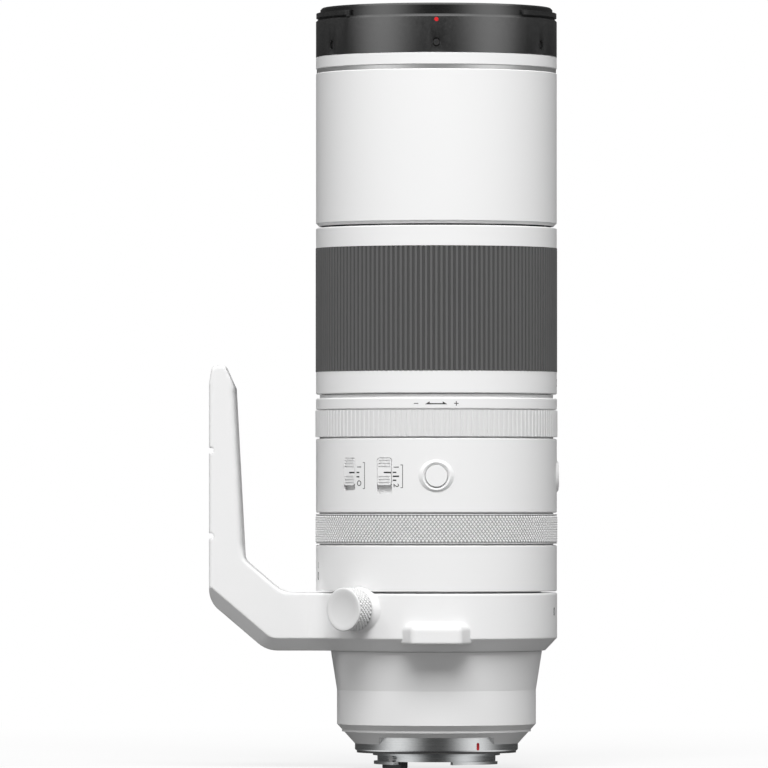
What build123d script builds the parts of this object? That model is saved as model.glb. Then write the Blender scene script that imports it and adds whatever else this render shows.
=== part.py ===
from build123d import *
from math import atan2, cos, degrees, pi, radians, sin, sqrt, tan
import os

os.makedirs("parts", exist_ok=True)

# Camera zoom lens in millimetres. The optical axis is Z with the front element up, z = 0 is the
# mount's face, and the tripod foot is on the -X side. Azimuths are in degrees, counted from the
# front of the model (-Y) toward +X.

# Lengths along the axis, from the mount to the front rim
flange_reach = 3.0
rear_cone_length = 8.2
rear_straight_length = 14.4
rear_taper_length = 16.4
collar_length = 24.3
collar_gap = 0.7
lower_barrel_length = 19.5
ring_gap = 0.6
control_ring_length = 12.5
control_barrel_length = 31.25
torque_gap = 0.75
torque_ring_length = 11.2
index_band_length = 4.75
zoom_gap = 1.8
rear_rim_length = 9.45
grip_length = 52.4
front_rim_length = 8.5
sleeve_gap = 0.8
front_sleeve_length = 64.8
accent_length = 1.6
trim_length = 5.3
filter_ring_length = 16.0
hood_groove_length = 2.8
front_lip_length = 1.9

# The barrel's radius, and how far each ring stands out from it or steps in
barrel_radius = 51.0
grip_stand = 0.15
torque_ring_stand = 0.27
control_ring_stand = 0.2
collar_stand = 0.1
filter_ring_stand = 0.04
rear_step = 8.9
seat_step = 2.1
seat_lip = 0.5
rear_foot_step = 7.45
rear_foot_wall = 0.1
flange_fit = 0.05

# Walls and fits
shell_wall = 3.2
sleeve_wall = 1.4
extension_wall = 1.4
cam_wall = 1.6
guide_wall = 1.6
rear_wall = 2.1
web = 2.0
tube_clearance = 0.4
running_gap = 0.3
running_fit = 0.1
pin_fit = 0.05
edge_break = 0.4
groove_depth = 1.5
drive_clearance = 1.6
drive_flange_thickness = 3.0
overrun = 2.0
fan_steps = 4
round_share = 0.48

# Zoom travel
zoom_angle = 130.0
extension_travel = 88.0
variator_travel = 20.0
follower_count = 3

# Levels that follow from the lengths
rear_bottom = flange_reach
rear_cone_top = rear_bottom + rear_cone_length
rear_straight_top = rear_cone_top + rear_straight_length
rear_top = rear_straight_top + rear_taper_length
collar_bottom = rear_top + running_gap
collar_top = collar_bottom + collar_length
lower_bottom = collar_top + collar_gap
lower_top = lower_bottom + lower_barrel_length
control_ring_bottom = lower_top + ring_gap
control_ring_top = control_ring_bottom + control_ring_length
control_bottom = control_ring_top + ring_gap
control_top = control_bottom + control_barrel_length
torque_bottom = control_top + torque_gap
torque_top = torque_bottom + torque_ring_length
index_bottom = torque_top + running_gap
index_top = index_bottom + index_band_length
zoom_bottom = index_top + zoom_gap
grip_bottom = zoom_bottom + rear_rim_length
grip_top = grip_bottom + grip_length
zoom_top = grip_top + front_rim_length
sleeve_bottom = zoom_top + sleeve_gap
sleeve_top = sleeve_bottom + front_sleeve_length
accent_top = sleeve_top + accent_length
trim_top = accent_top + trim_length
hood_groove_bottom = trim_top + filter_ring_length
front_lip_bottom = hood_groove_bottom + hood_groove_length
front_top = front_lip_bottom + front_lip_length

# Radii that follow, outside first and then from the shell inward
grip_radius = barrel_radius + grip_stand
torque_ring_radius = barrel_radius + torque_ring_stand
control_ring_radius = barrel_radius + control_ring_stand
collar_radius = barrel_radius + collar_stand
filter_ring_radius = barrel_radius + filter_ring_stand
rear_radius = barrel_radius - rear_step
seat_radius = rear_radius + seat_step
rear_foot_radius = rear_radius - rear_foot_step
flange_radius = rear_foot_radius - rear_foot_wall - flange_fit
shell_bore = barrel_radius - shell_wall
groove_radius = barrel_radius - groove_depth
sleeve_outer = shell_bore - tube_clearance
sleeve_inner = sleeve_outer - sleeve_wall
extension_outer = sleeve_inner - tube_clearance
extension_inner = extension_outer - extension_wall
cam_outer = extension_inner - tube_clearance
cam_inner = cam_outer - cam_wall
guide_outer = cam_inner - tube_clearance
guide_inner = guide_outer - guide_wall
rear_bore = rear_radius - rear_wall

# Levels of the inner tubes
lower_web_top = lower_bottom + web
drive_flange_bottom = lower_web_top + drive_clearance
drive_flange_top = drive_flange_bottom + drive_flange_thickness


def disc(bottom, top, radius):
    return extrude(Pos(0, 0, bottom) * Circle(radius), top - bottom)


def tube(bottom, top, outer, inner):
    return extrude(Pos(0, 0, bottom) * (Circle(outer) - Circle(inner)), top - bottom)


def turned(points):
    """Solid of revolution about Z from points given as radius and height."""
    return revolve(make_face(Plane.XZ * Polyline(*points, close=True)), Axis.Z)


def outward(angle, radius, height):
    """Place on the barrel: local x runs around it, local y up and local z outward."""
    return Rot(0, 0, angle) * Pos(0, -radius, height) * Rot(90, 0, 0)


def on_axis(angle, radius, height):
    """Place at a radius with its own z along the optical axis."""
    return Rot(0, 0, angle) * Pos(0, -radius, height)


def spread(count, first=0.0):
    return [first + index * 360 / count for index in range(count)]


def chamfered_tube(bottom, top, outer, inner, chamfer_size):
    return turned([
        (inner, bottom),
        (outer - chamfer_size, bottom),
        (outer, bottom + chamfer_size),
        (outer, top - chamfer_size),
        (outer - chamfer_size, top),
        (inner, top),
    ])


def sector(inner, outer, bottom, top, first, last):
    """Part of a tube between two azimuths."""
    span = last - first
    reach = outer * 2
    steps = [first + span * index / fan_steps for index in range(fan_steps + 1)]
    fan = [(reach * sin(radians(a)), -reach * cos(radians(a))) for a in steps]
    wedge = extrude(Pos(0, 0, bottom) * make_face(Polyline((0, 0), *fan, close=True)), top - bottom)
    return tube(bottom, top, outer, inner) & wedge


# Bayonet mount
spigot_step = 7.6
spigot_length = 2.0
neck_step = 1.9
neck_length = 2.5
throat_wall = 2.0
claw_step = 0.4
claw_length = 1.25
claw_count = 3
claw_span = 62.0
claw_first_angle = 15.0
flange_thickness = 6.0
flange_edge = 0.5
mount_screw_count = 4
mount_screw_inset = 4.7
mount_screw_radius = 1.0
mount_screw_head_radius = 1.9
mount_screw_head_length = 1.2
mount_screw_grip = 1.4
mount_screw_first_angle = 45.0
mount_drive_share = 1.3
drive_width_share = 0.36
seal_inset = 0.8
seal_wall = 1.3
seal_lip_share = 1 / 3
seal_depth = 1.2
seal_stand = 0.9
stop_pin_radius = 1.2
stop_pin_angle = -46.5
stop_pin_reach = 1.4
stop_pin_seat = 1.0
lock_slot_radius = 1.6
lock_slot_angle = 180.0
lock_slot_depth = 3.0
index_angle = 30.4
index_mark_width = 1.36
index_mark_height = 3.2
index_mark_middle = 2.2
index_mark_depth = 0.4

spigot_radius = flange_radius - spigot_step
neck_radius = spigot_radius - neck_step
throat_radius = neck_radius - throat_wall
claw_radius = spigot_radius - claw_step
claw_top = -(spigot_length + neck_length)
claw_bottom = claw_top - claw_length
mount_screw_circle = flange_radius - mount_screw_inset
mount_screw_length = flange_thickness + mount_screw_grip
seal_outer = flange_radius - seal_inset
seal_inner = seal_outer - seal_wall
stop_pin_height = claw_top + neck_length / 2


def mount_flange():
    body = turned([
        (throat_radius, claw_top),
        (neck_radius, claw_top),
        (neck_radius, -spigot_length),
        (spigot_radius, -spigot_length),
        (spigot_radius, 0),
        (flange_radius - flange_edge, 0),
        (flange_radius, flange_edge),
        (flange_radius, flange_thickness),
        (throat_radius, flange_thickness),
    ])
    for angle in spread(claw_count, claw_first_angle):
        body += sector(throat_radius, claw_radius, claw_bottom, claw_top, angle, angle + claw_span)
    body -= tube(-overrun, seal_depth, seal_outer, seal_inner)
    for angle in spread(mount_screw_count, mount_screw_first_angle):
        place = on_axis(angle, mount_screw_circle, -overrun)
        body -= place * extrude(Circle(mount_screw_radius), flange_thickness + overrun * 2)
        body -= place * extrude(Circle(mount_screw_head_radius), mount_screw_head_length + overrun)
    pin_seat = neck_radius - stop_pin_seat
    pin_hole = extrude(Circle(stop_pin_radius), overrun)
    body -= outward(stop_pin_angle, pin_seat, stop_pin_height) * pin_hole
    lock_slot = extrude(Circle(lock_slot_radius), lock_slot_depth)
    body -= on_axis(lock_slot_angle, mount_screw_circle, 0) * lock_slot
    mark = SlotCenterToCenter(index_mark_height - index_mark_width, index_mark_width, rotation=90)
    mark_seat = flange_radius - index_mark_depth
    body -= outward(index_angle, mark_seat, index_mark_middle) * extrude(mark, overrun)
    return body


def mount_screws():
    screws = []
    for angle in spread(mount_screw_count, mount_screw_first_angle):
        head = extrude(Circle(mount_screw_head_radius), mount_screw_head_length)
        shank = extrude(Circle(mount_screw_radius), mount_screw_length)
        drive_length = mount_screw_head_radius * mount_drive_share
        drive_width = mount_screw_head_radius * drive_width_share
        drive = Box(drive_length, drive_width, mount_screw_head_length)
        drive += Box(drive_width, drive_length, mount_screw_head_length)
        screws.append(on_axis(angle, mount_screw_circle, 0) * (head + shank - drive))
    return Compound(screws)


def mount_stop_pin():
    pin = extrude(Circle(stop_pin_radius), stop_pin_seat + stop_pin_reach)
    return outward(stop_pin_angle, neck_radius - stop_pin_seat, stop_pin_height) * pin


def mount_seal():
    lip = seal_wall * seal_lip_share
    return turned([
        (seal_inner, seal_depth),
        (seal_inner, 0),
        (seal_inner + lip, 0),
        (seal_outer - lip / 2, -seal_stand),
        (seal_outer, -seal_stand),
        (seal_outer, seal_depth),
    ])


# Rear barrel: cone, straight part and taper, with the collar's seat above
notch_top_angle = 40.3
notch_bottom_angle = 47.0
rear_web_thickness = 2.0

rear_web_bottom = flange_thickness
rear_web_top = rear_web_bottom + rear_web_thickness


def rear_barrel():
    body = turned([
        (flange_radius + flange_fit, rear_bottom),
        (rear_foot_radius, rear_bottom),
        (rear_radius, rear_cone_top),
        (rear_radius, rear_straight_top),
        (seat_radius + seat_lip, rear_top),
        (seat_radius, rear_top),
        (seat_radius, lower_bottom),
        (rear_bore, lower_bottom),
        (rear_bore, rear_web_top),
        (throat_radius, rear_web_top),
        (throat_radius, rear_web_bottom),
        (flange_radius + flange_fit, rear_web_bottom),
    ])
    # The cone is cut away at the front, where the mount's side shows taller
    reach = rear_radius * 2
    bottom_x = reach * sin(radians(notch_bottom_angle))
    bottom_y = -reach * cos(radians(notch_bottom_angle))
    top_x = reach * sin(radians(notch_top_angle))
    top_y = -reach * cos(radians(notch_top_angle))
    low = Pos(0, 0, rear_bottom - overrun) * make_face(
        Polyline((0, 0), (bottom_x, bottom_y), (0, -reach), (-bottom_x, bottom_y), close=True))
    high = Pos(0, 0, rear_web_bottom) * make_face(
        Polyline((0, 0), (top_x, top_y), (0, -reach), (-top_x, top_y), close=True))
    body -= loft([low, high], ruled=True)
    for angle in spread(mount_screw_count, mount_screw_first_angle):
        hole = extrude(Circle(mount_screw_radius), mount_screw_length - rear_web_bottom + pin_fit)
        body -= on_axis(angle, mount_screw_circle, rear_web_bottom) * hole
    return body


# Rear lens cell, its lens, the baffle and the contacts behind it
cell_fit = 0.1
rear_cell_wall = 2.9
rear_cell_reach = 3.0
rear_cell_rise = 5.0
rear_cell_flange_width = 4.6
rear_cell_flange_thickness = 2.0
rear_lens_seat = 1.2
rear_lens_seat_height = 2.5
rear_lens_edge = 5.0
rear_lens_back_bulge = 1.6
rear_lens_front_bulge = 3.2
baffle_inset = 0.5
baffle_thickness = 1.2
baffle_gap = 0.6
baffle_width_share = 2 / 3
baffle_height_share = 0.513
baffle_corner_share = 0.15
contact_width = 4.3
contact_thickness = 4.6
contact_first_angle = -139.0
contact_last_angle = -41.0
contact_pin_count = 12
contact_pin_radius = 0.75
contact_pin_stand = 0.15
contact_pin_depth = 1.0
contact_end_angle = 5.0

rear_cell_radius = throat_radius - cell_fit
rear_cell_flange_radius = rear_cell_radius + rear_cell_flange_width
rear_cell_bottom = -rear_cell_reach
rear_cell_top = rear_web_top + rear_cell_rise
rear_lens_radius = rear_cell_radius - rear_cell_wall
rear_lens_bottom = rear_cell_bottom + rear_lens_seat_height
contact_inner = rear_cell_radius - contact_width
contact_bottom = rear_cell_bottom - contact_thickness


def lens(radius, bottom, edge, back_bulge, front_bulge):
    """Lens with spherical faces. A bulge is how far a face stands out of its edge, or in if below zero."""
    def half_way(bulge):
        sphere = (radius ** 2 + bulge ** 2) / (2 * abs(bulge))
        rise = sqrt(sphere ** 2 - (radius / 2) ** 2) - (sphere - abs(bulge))
        return rise if bulge > 0 else -rise

    top = bottom + edge
    back_pole = (0, bottom - back_bulge)
    front_pole = (0, top + front_bulge)
    back = ThreePointArc(back_pole, (radius / 2, bottom - half_way(back_bulge)), (radius, bottom))
    side = Line((radius, bottom), (radius, top))
    front = ThreePointArc((radius, top), (radius / 2, top + half_way(front_bulge)), front_pole)
    middle = Line(front_pole, back_pole)
    return revolve(make_face(Plane.XZ * (back + side + front + middle)), Axis.Z)


def rear_lens_cell():
    seat = rear_lens_radius - rear_lens_seat
    return turned([
        (seat, rear_cell_bottom),
        (rear_cell_radius, rear_cell_bottom),
        (rear_cell_radius, rear_web_top),
        (rear_cell_flange_radius, rear_web_top),
        (rear_cell_flange_radius, rear_web_top + rear_cell_flange_thickness),
        (rear_cell_radius, rear_web_top + rear_cell_flange_thickness),
        (rear_cell_radius, rear_cell_top),
        (rear_lens_radius, rear_cell_top),
        (rear_lens_radius, rear_lens_bottom),
        (seat, rear_lens_bottom),
    ])


def rear_lens():
    return lens(rear_lens_radius, rear_lens_bottom, rear_lens_edge,
                -rear_lens_back_bulge, rear_lens_front_bulge)


def rear_baffle():
    radius = rear_lens_radius - baffle_inset
    width = radius * 2 * baffle_width_share
    height = radius * 2 * baffle_height_share
    window = RectangleRounded(width, height, height * baffle_corner_share)
    plate = Circle(radius) - window
    body = extrude(Pos(0, 0, rear_cell_bottom - baffle_thickness) * plate, baffle_thickness)
    return body - sector(contact_inner - baffle_gap, rear_cell_radius, contact_bottom, rear_cell_bottom,
                         contact_first_angle - contact_end_angle, contact_last_angle + contact_end_angle)


def contact_angles():
    span = contact_last_angle - contact_first_angle - contact_end_angle * 2
    step = span / (contact_pin_count - 1)
    return [contact_first_angle + contact_end_angle + step * index for index in range(contact_pin_count)]


def contact_middle():
    return (contact_inner + rear_cell_radius) / 2


def contact_block():
    body = sector(contact_inner, rear_cell_radius, contact_bottom, rear_cell_bottom,
                  contact_first_angle, contact_last_angle)
    hole = extrude(Circle(contact_pin_radius), contact_pin_depth)
    for angle in contact_angles():
        body -= on_axis(angle, contact_middle(), contact_bottom) * hole
    return body


def contact_pins():
    pins = []
    for angle in contact_angles():
        pin = extrude(Circle(contact_pin_radius), contact_pin_depth + contact_pin_stand)
        pins.append(on_axis(angle, contact_middle(), contact_bottom - contact_pin_stand) * pin)
    return Compound(pins)


# Circuit board on the rear web
board_inset = 1.5
board_width = 10.0
board_thickness = 1.6
board_span = 130.0
chip_size = 6.0
chip_thickness = 1.2
chip_count = 5

board_outer = rear_bore - board_inset
board_inner = board_outer - board_width


def circuit_board():
    body = sector(board_inner, board_outer, rear_web_top, rear_web_top + board_thickness,
                  -board_span / 2, board_span / 2)
    middle = (board_inner + board_outer) / 2
    step = board_span / (chip_count + 1)
    for index in range(chip_count):
        angle = -board_span / 2 + step * (index + 1)
        chip = extrude(Rectangle(chip_size, chip_size), chip_thickness)
        body += on_axis(angle, middle, rear_web_top + board_thickness) * chip
    return body


# Focus group on two rods, moved by a linear motor
rod_inset = 6.0
rod_radius = 1.5
rod_length = 28.6
focus_cell_gap = 7.0
focus_cell_wall = 6.0
focus_seat = 1.5
focus_cell_length = 7.0
focus_lens_edge = 3.5
focus_bulge = 1.8
guide_boss_radius = 3.4
guide_boss_length = 12.0
guide_arm_width = 5.0
guide_arm_height = 3.0
motor_width = 12.0
motor_inset = 2.0
motor_depth = 7.0
motor_length = 25.0

rod_circle = rear_bore - rod_inset
focus_cell_outer = rod_circle - focus_cell_gap
focus_lens_radius = focus_cell_outer - focus_cell_wall
motor_inner = rear_bore - motor_inset - motor_depth
rod_top = rear_web_top + rod_length
focus_middle = (rear_web_top + rod_top) / 2


def focus_rods():
    rod = extrude(Circle(rod_radius), rod_length)
    return Compound([on_axis(side, rod_circle, rear_web_top) * rod for side in (90, -90)])


def focus_cell():
    low = focus_middle - focus_cell_length / 2
    body = tube(low, low + focus_cell_length, focus_cell_outer, focus_lens_radius - focus_seat)
    body -= disc(low + focus_seat, low + focus_cell_length + overrun, focus_lens_radius)
    arm = Box(guide_arm_width, rod_circle - focus_cell_outer + focus_seat, guide_arm_height)
    arm_middle = (rod_circle + focus_cell_outer - focus_seat) / 2
    for side in (90, -90):
        body += on_axis(side, arm_middle, focus_middle) * arm
    boss = extrude(Circle(guide_boss_radius), guide_boss_length)
    body += on_axis(90, rod_circle, focus_middle - guide_boss_length / 2) * boss
    fork = Box(guide_arm_width, guide_boss_radius, guide_arm_height)
    body += on_axis(-90, rod_circle, focus_middle) * fork
    bore = extrude(Circle(rod_radius + pin_fit), rod_length)
    body -= on_axis(90, rod_circle, rear_web_top) * bore
    slot = Box((rod_radius + pin_fit) * 2, guide_boss_radius + overrun, guide_arm_height * 2)
    body -= on_axis(-90, rod_circle + overrun / 2, focus_middle) * slot
    tongue_length = motor_inner - running_gap - focus_cell_outer + focus_seat
    tongue = Box(guide_arm_width, tongue_length, guide_arm_height)
    body += on_axis(180, motor_inner - running_gap - tongue_length / 2, focus_middle) * tongue
    return body


def focus_lens():
    low = focus_middle - focus_cell_length / 2 + focus_seat
    return lens(focus_lens_radius, low, focus_lens_edge, -focus_bulge, -focus_bulge)


def focus_motor():
    block = extrude(Rectangle(motor_width, motor_depth), motor_length)
    return on_axis(180, motor_inner + motor_depth / 2, rear_web_top) * block


# Stabiliser: a base, a plate that slides in X on it and a lens frame that slides in Y on the plate
stabiliser_plate = 2.4
aperture_step = 1.0
rail_inset = 5.0
rail_width = 1.6
rail_height = 1.2
rail_length = 20.0
groove_fit = 0.1
guide_plate_gap = 9.0
guide_plate_width = 9.0
guide_plate_thickness = 2.2
frame_plate_thickness = 2.2
frame_tube_step = 1.5
frame_tube_wall = 1.5
frame_tube_length = 5.6
stabiliser_lens_seat = 1.2
stabiliser_lens_edge = 3.6
stabiliser_lens_bulge = 1.4
arm_gap = 2.5
arm_width = 11.0
arm_angles = (45.0, 135.0)

guide_plate_outer = rear_bore - guide_plate_gap
guide_plate_inner = guide_plate_outer - guide_plate_width
rail_spacing = guide_plate_outer - rail_inset
stabiliser_aperture = guide_plate_inner - aperture_step
frame_tube_outer = guide_plate_inner - frame_tube_step
stabiliser_lens_radius = frame_tube_outer - frame_tube_wall
arm_outer = rear_bore - arm_gap
stabiliser_bottom = rod_top
stabiliser_top = stabiliser_bottom + stabiliser_plate
guide_plate_bottom = stabiliser_top + running_gap
guide_plate_top = guide_plate_bottom + guide_plate_thickness
frame_bottom = guide_plate_top + running_gap
frame_top = frame_bottom + frame_plate_thickness


def rails(bottom, along_x):
    rail = extrude(Rectangle(rail_length, rail_width), rail_height)
    turn = 0 if along_x else 90
    return [Rot(0, 0, turn) * Pos(0, side * rail_spacing, bottom) * rail for side in (1, -1)]


def rail_grooves(bottom, along_x):
    depth = rail_height - running_gap + groove_fit
    groove = extrude(Rectangle(guide_plate_outer * 2, rail_width + groove_fit * 2), depth + overrun)
    turn = 0 if along_x else 90
    return [Rot(0, 0, turn) * Pos(0, side * rail_spacing, bottom - overrun) * groove for side in (1, -1)]


def stabiliser_base():
    body = tube(stabiliser_bottom, stabiliser_top, rear_bore - pin_fit, stabiliser_aperture)
    for rail in rails(stabiliser_top, True):
        body += rail
    return body


def stabiliser_guide():
    body = tube(guide_plate_bottom, guide_plate_top, guide_plate_outer, guide_plate_inner)
    for groove in rail_grooves(guide_plate_bottom, True):
        body -= groove
    for rail in rails(guide_plate_top, False):
        body += rail
    return body


def stabiliser_frame():
    seat = stabiliser_lens_radius - stabiliser_lens_seat
    body = tube(frame_bottom, frame_top, guide_plate_outer, seat)
    body += tube(frame_top, frame_top + frame_tube_length, frame_tube_outer, seat)
    arm_length = arm_outer - guide_plate_outer + stabiliser_lens_seat
    arm = extrude(Rectangle(arm_width, arm_length), frame_plate_thickness)
    for angle in arm_angles:
        body += on_axis(angle, arm_outer - arm_length / 2, frame_bottom) * arm
    for groove in rail_grooves(frame_bottom, False):
        body -= groove
    return body - disc(frame_top, frame_top + frame_tube_length + overrun, stabiliser_lens_radius)


def stabiliser_lens():
    return lens(stabiliser_lens_radius, frame_top, stabiliser_lens_edge,
                -stabiliser_lens_bulge, stabiliser_lens_bulge)


# Iris: nine blades in thin layers between a base plate and a drive ring
blade_count = 9
iris_gap = 4.6
iris_plate = 2.0
iris_rim = 3.6
pivot_gap = 10.4
drive_distance = 6.0
pivot_radius = 0.75
blade_gap = 1.6
blade_width = 6.8
blade_overlap = 0.6
blade_span = 100.0
blade_swing = 40.0
blade_thickness = 0.15
layer_gap = 0.05
ear_width = 3.4
ear_overlap = 3.4
drive_ring_width = 7.1
drive_ring_thickness = 1.5
drive_slot_length = 2.6
drive_slot_lead = 0.2

iris_bottom = frame_top + frame_tube_length + iris_gap
iris_plate_top = iris_bottom + iris_plate
blades_bottom = iris_plate_top + layer_gap
layer_pitch = blade_thickness + layer_gap
drive_ring_bottom = blades_bottom + layer_pitch * blade_count + running_gap
drive_ring_top = drive_ring_bottom + drive_ring_thickness
iris_rim_inner = rear_bore - iris_rim
drive_ring_outer = iris_rim_inner - running_fit
drive_ring_inner = drive_ring_outer - drive_ring_width
pivot_circle = iris_rim_inner - pivot_gap
drive_circle = pivot_circle + drive_distance
blade_outer = pivot_circle - blade_gap
blade_inner = blade_outer - blade_width
iris_aperture = blade_inner - blade_overlap


def blade_angle(index):
    return index * 360 / blade_count


def pivot_point(index):
    angle = radians(blade_angle(index))
    return (pivot_circle * cos(angle), pivot_circle * sin(angle))


def drive_point(index, swing):
    """Drive pin of a blade, where swing counts from the middle of its travel."""
    x, y = pivot_point(index)
    angle = radians(blade_angle(index) + swing)
    return (x + drive_distance * cos(angle), y + drive_distance * sin(angle))


def drive_lead():
    """Angle that the drive ring turns for half of the blades' swing."""
    x, y = drive_point(0, blade_swing / 2)
    return degrees(atan2(y, x))


def iris_base():
    body = tube(iris_bottom, iris_plate_top, rear_bore - pin_fit, iris_aperture)
    body += tube(iris_plate_top, drive_ring_top, rear_bore - pin_fit, iris_rim_inner)
    hole = extrude(Circle(pivot_radius + pin_fit), iris_plate + overrun * 2)
    for index in range(blade_count):
        x, y = pivot_point(index)
        body -= Pos(x, y, iris_bottom - overrun) * hole
    return body


def iris_drive_ring():
    body = tube(drive_ring_bottom, drive_ring_top, drive_ring_outer, drive_ring_inner)
    slot = SlotOverall(drive_slot_length + pivot_radius * 2, (pivot_radius + running_fit) * 2)
    tall = drive_ring_thickness + overrun * 2
    for index in range(blade_count):
        angle = blade_angle(index) - drive_lead()
        place = Rot(0, 0, angle) * Pos(drive_circle - drive_slot_lead, 0, drive_ring_bottom - overrun)
        body -= place * extrude(slot, tall)
    return body


def iris_blade(index):
    low = blades_bottom + layer_pitch * index
    start = blade_angle(index)
    half = radians(blade_span / 2)
    reach = blade_outer * 2
    fan = Polyline((0, 0), (reach, 0), (reach * cos(half), reach * sin(half)),
                   (reach * cos(half * 2), reach * sin(half * 2)), close=True)
    blade = (Circle(blade_outer) - Circle(blade_inner)) & make_face(fan)
    flat = Rot(0, 0, start) * blade
    x, y = pivot_point(index)
    lean = start - blade_swing / 2
    ear_length = ear_overlap + drive_distance
    ear = SlotCenterToCenter(ear_length, ear_width)
    shift = (drive_distance - ear_overlap) / 2
    flat += Pos(x, y) * Rot(0, 0, lean) * Pos(shift, 0) * ear
    body = extrude(Pos(0, 0, low) * flat, blade_thickness)
    pivot_depth = low - iris_bottom - pin_fit
    body += Pos(x, y, low - pivot_depth) * extrude(Circle(pivot_radius), pivot_depth + blade_thickness)
    drive_x, drive_y = drive_point(index, -blade_swing / 2)
    rise = drive_ring_top - low
    body += Pos(drive_x, drive_y, low) * extrude(Circle(pivot_radius), rise)
    return body


# Lower barrel: web, shell and the spigot that carries the control ring
def lower_barrel():
    return turned([
        (guide_inner - tube_clearance, lower_bottom),
        (barrel_radius - edge_break, lower_bottom),
        (barrel_radius, lower_bottom + edge_break),
        (barrel_radius, lower_top - edge_break),
        (barrel_radius - edge_break, lower_top),
        (groove_radius, lower_top),
        (groove_radius, control_bottom),
        (shell_bore, control_bottom),
        (shell_bore, lower_web_top),
        (guide_inner - tube_clearance, lower_web_top),
    ])


def control_ring():
    return chamfered_tube(control_ring_bottom, control_ring_top, control_ring_radius,
                          groove_radius + running_fit, edge_break)


# Control barrel with two buttons and two switches
button_from_top = 15.85
button_angles = (0.0, 90.0)
button_radius = 4.6
button_fit = 0.2
button_travel = 0.6
button_stand = 0.2
button_flange = 0.55
button_flange_thickness = 0.5
button_boss_base_radius = 8.2
button_boss_rim_radius = 5.9
button_boss_stand = 0.7
button_boss_depth = 1.1
button_mouth = 0.8
pocket_floor_wall = 0.75
switch_width = 6.3
switch_length = 11.2
switch_from_top = 8.45
switch_fit = 0.3
switch_stand = 0.2
switch_floor_wall = 1.2
switch_plate = 0.6
switch_plate_wide = 0.7
switch_corner = 0.9
focus_switch_angle = -25.3
focus_switch_travel = 3.4
stabiliser_switch_angle = -45.8
stabiliser_switch_travel = 1.9
ridge_count = 3
ridge_pitch = 1.25
ridge_width = 0.6
ridge_depth = 0.35
ridge_first = 1.5
ridge_length_share = 0.86

button_level = control_top - button_from_top
switch_top = control_top - switch_from_top
button_floor = shell_bore + pocket_floor_wall
button_face = barrel_radius + button_boss_stand + button_stand
button_foot = button_floor + button_travel + button_fit
switch_floor = shell_bore + switch_floor_wall
switch_foot = switch_floor + running_gap


def button_seat(angle):
    """Solid of the raised boss and the pocket that is cut through it."""
    upright = (Align.CENTER, Align.CENTER, Align.MIN)
    foot = barrel_radius - button_boss_depth
    height = button_boss_depth + button_boss_stand
    boss = outward(angle, foot, button_level) * Cone(
        button_boss_base_radius, button_boss_rim_radius, height, align=upright)
    hole_radius = button_radius + button_fit
    depth = barrel_radius + button_boss_stand - button_floor
    hole = outward(angle, button_floor, button_level) * extrude(Circle(hole_radius), depth + overrun)
    groove_height = button_travel + button_flange_thickness + button_fit * 2
    wide = hole_radius + button_flange
    hole += outward(angle, button_floor, button_level) * extrude(Circle(wide), groove_height)
    mouth_foot = barrel_radius + button_boss_stand - button_mouth
    hole += outward(angle, mouth_foot, button_level) * Cone(
        hole_radius, hole_radius + button_mouth, button_mouth, align=upright)
    return boss, hole


def function_button(angle):
    length = button_face - button_foot
    body = outward(angle, button_foot, button_level) * extrude(Circle(button_radius), length)
    flange = extrude(Circle(button_radius + button_flange), button_flange_thickness)
    body += outward(angle, button_foot, button_level) * flange
    edge = body.edges().filter_by(GeomType.CIRCLE).sort_by(outward_key(angle))[-1]
    return fillet(edge, button_stand)


def outward_key(angle):
    direction = (sin(radians(angle)), -cos(radians(angle)))
    return lambda edge: edge.center().X * direction[0] + edge.center().Y * direction[1]


def switch_slot(angle, travel):
    length = switch_length + travel + switch_fit * 2
    middle = switch_top + switch_fit - length / 2
    depth = barrel_radius - switch_floor
    mouth = RectangleRounded(switch_width + switch_fit * 2, length, switch_corner + switch_fit)
    slot = outward(angle, switch_floor, middle) * extrude(mouth, depth + overrun)
    wide_around = switch_width + (switch_plate_wide + switch_fit) * 2
    wide = Rectangle(wide_around, length + switch_plate_wide * 2)
    height = switch_plate + running_gap * 2
    return slot + outward(angle, switch_floor, middle) * extrude(wide, height)


def switch_knob(angle):
    middle = switch_top - switch_length / 2
    outline = RectangleRounded(switch_width, switch_length, switch_corner)
    height = barrel_radius + overrun - switch_foot
    body = outward(angle, switch_foot, middle) * extrude(outline, height)
    body &= disc(0, front_top, barrel_radius + switch_stand)
    cut_depth = switch_stand + ridge_depth
    ridge_length = switch_width * ridge_length_share
    for side in (1, -1):
        for index in range(ridge_count):
            level = middle + side * (ridge_first + ridge_pitch * (index + 0.5))
            ridge = Box(ridge_length, ridge_pitch - ridge_width, cut_depth * 2 + overrun)
            place = outward(angle, barrel_radius - ridge_depth + cut_depth + overrun / 2, level)
            body -= place * ridge
    plate_width = switch_width + switch_plate_wide * 2
    plate = RectangleRounded(plate_width, switch_length + switch_plate_wide, switch_corner)
    return body + outward(angle, switch_foot, middle) * extrude(plate, switch_plate)


def control_barrel():
    body = turned([
        (shell_bore, control_bottom),
        (barrel_radius - edge_break, control_bottom),
        (barrel_radius, control_bottom + edge_break),
        (barrel_radius, control_top - edge_break),
        (barrel_radius - edge_break, control_top),
        (groove_radius, control_top),
        (groove_radius, index_bottom),
        (shell_bore, index_bottom),
    ])
    for angle in button_angles:
        boss, hole = button_seat(angle)
        body = body + boss - hole
    body -= switch_slot(focus_switch_angle, focus_switch_travel)
    body -= switch_slot(stabiliser_switch_angle, stabiliser_switch_travel)
    return body


# Torque ring with fine ribs, and the fixed band above it
torque_rib_count = 136
torque_rib_depth = 0.3
torque_rib_share = 0.5
rib_flank_share = 0.25


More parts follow.
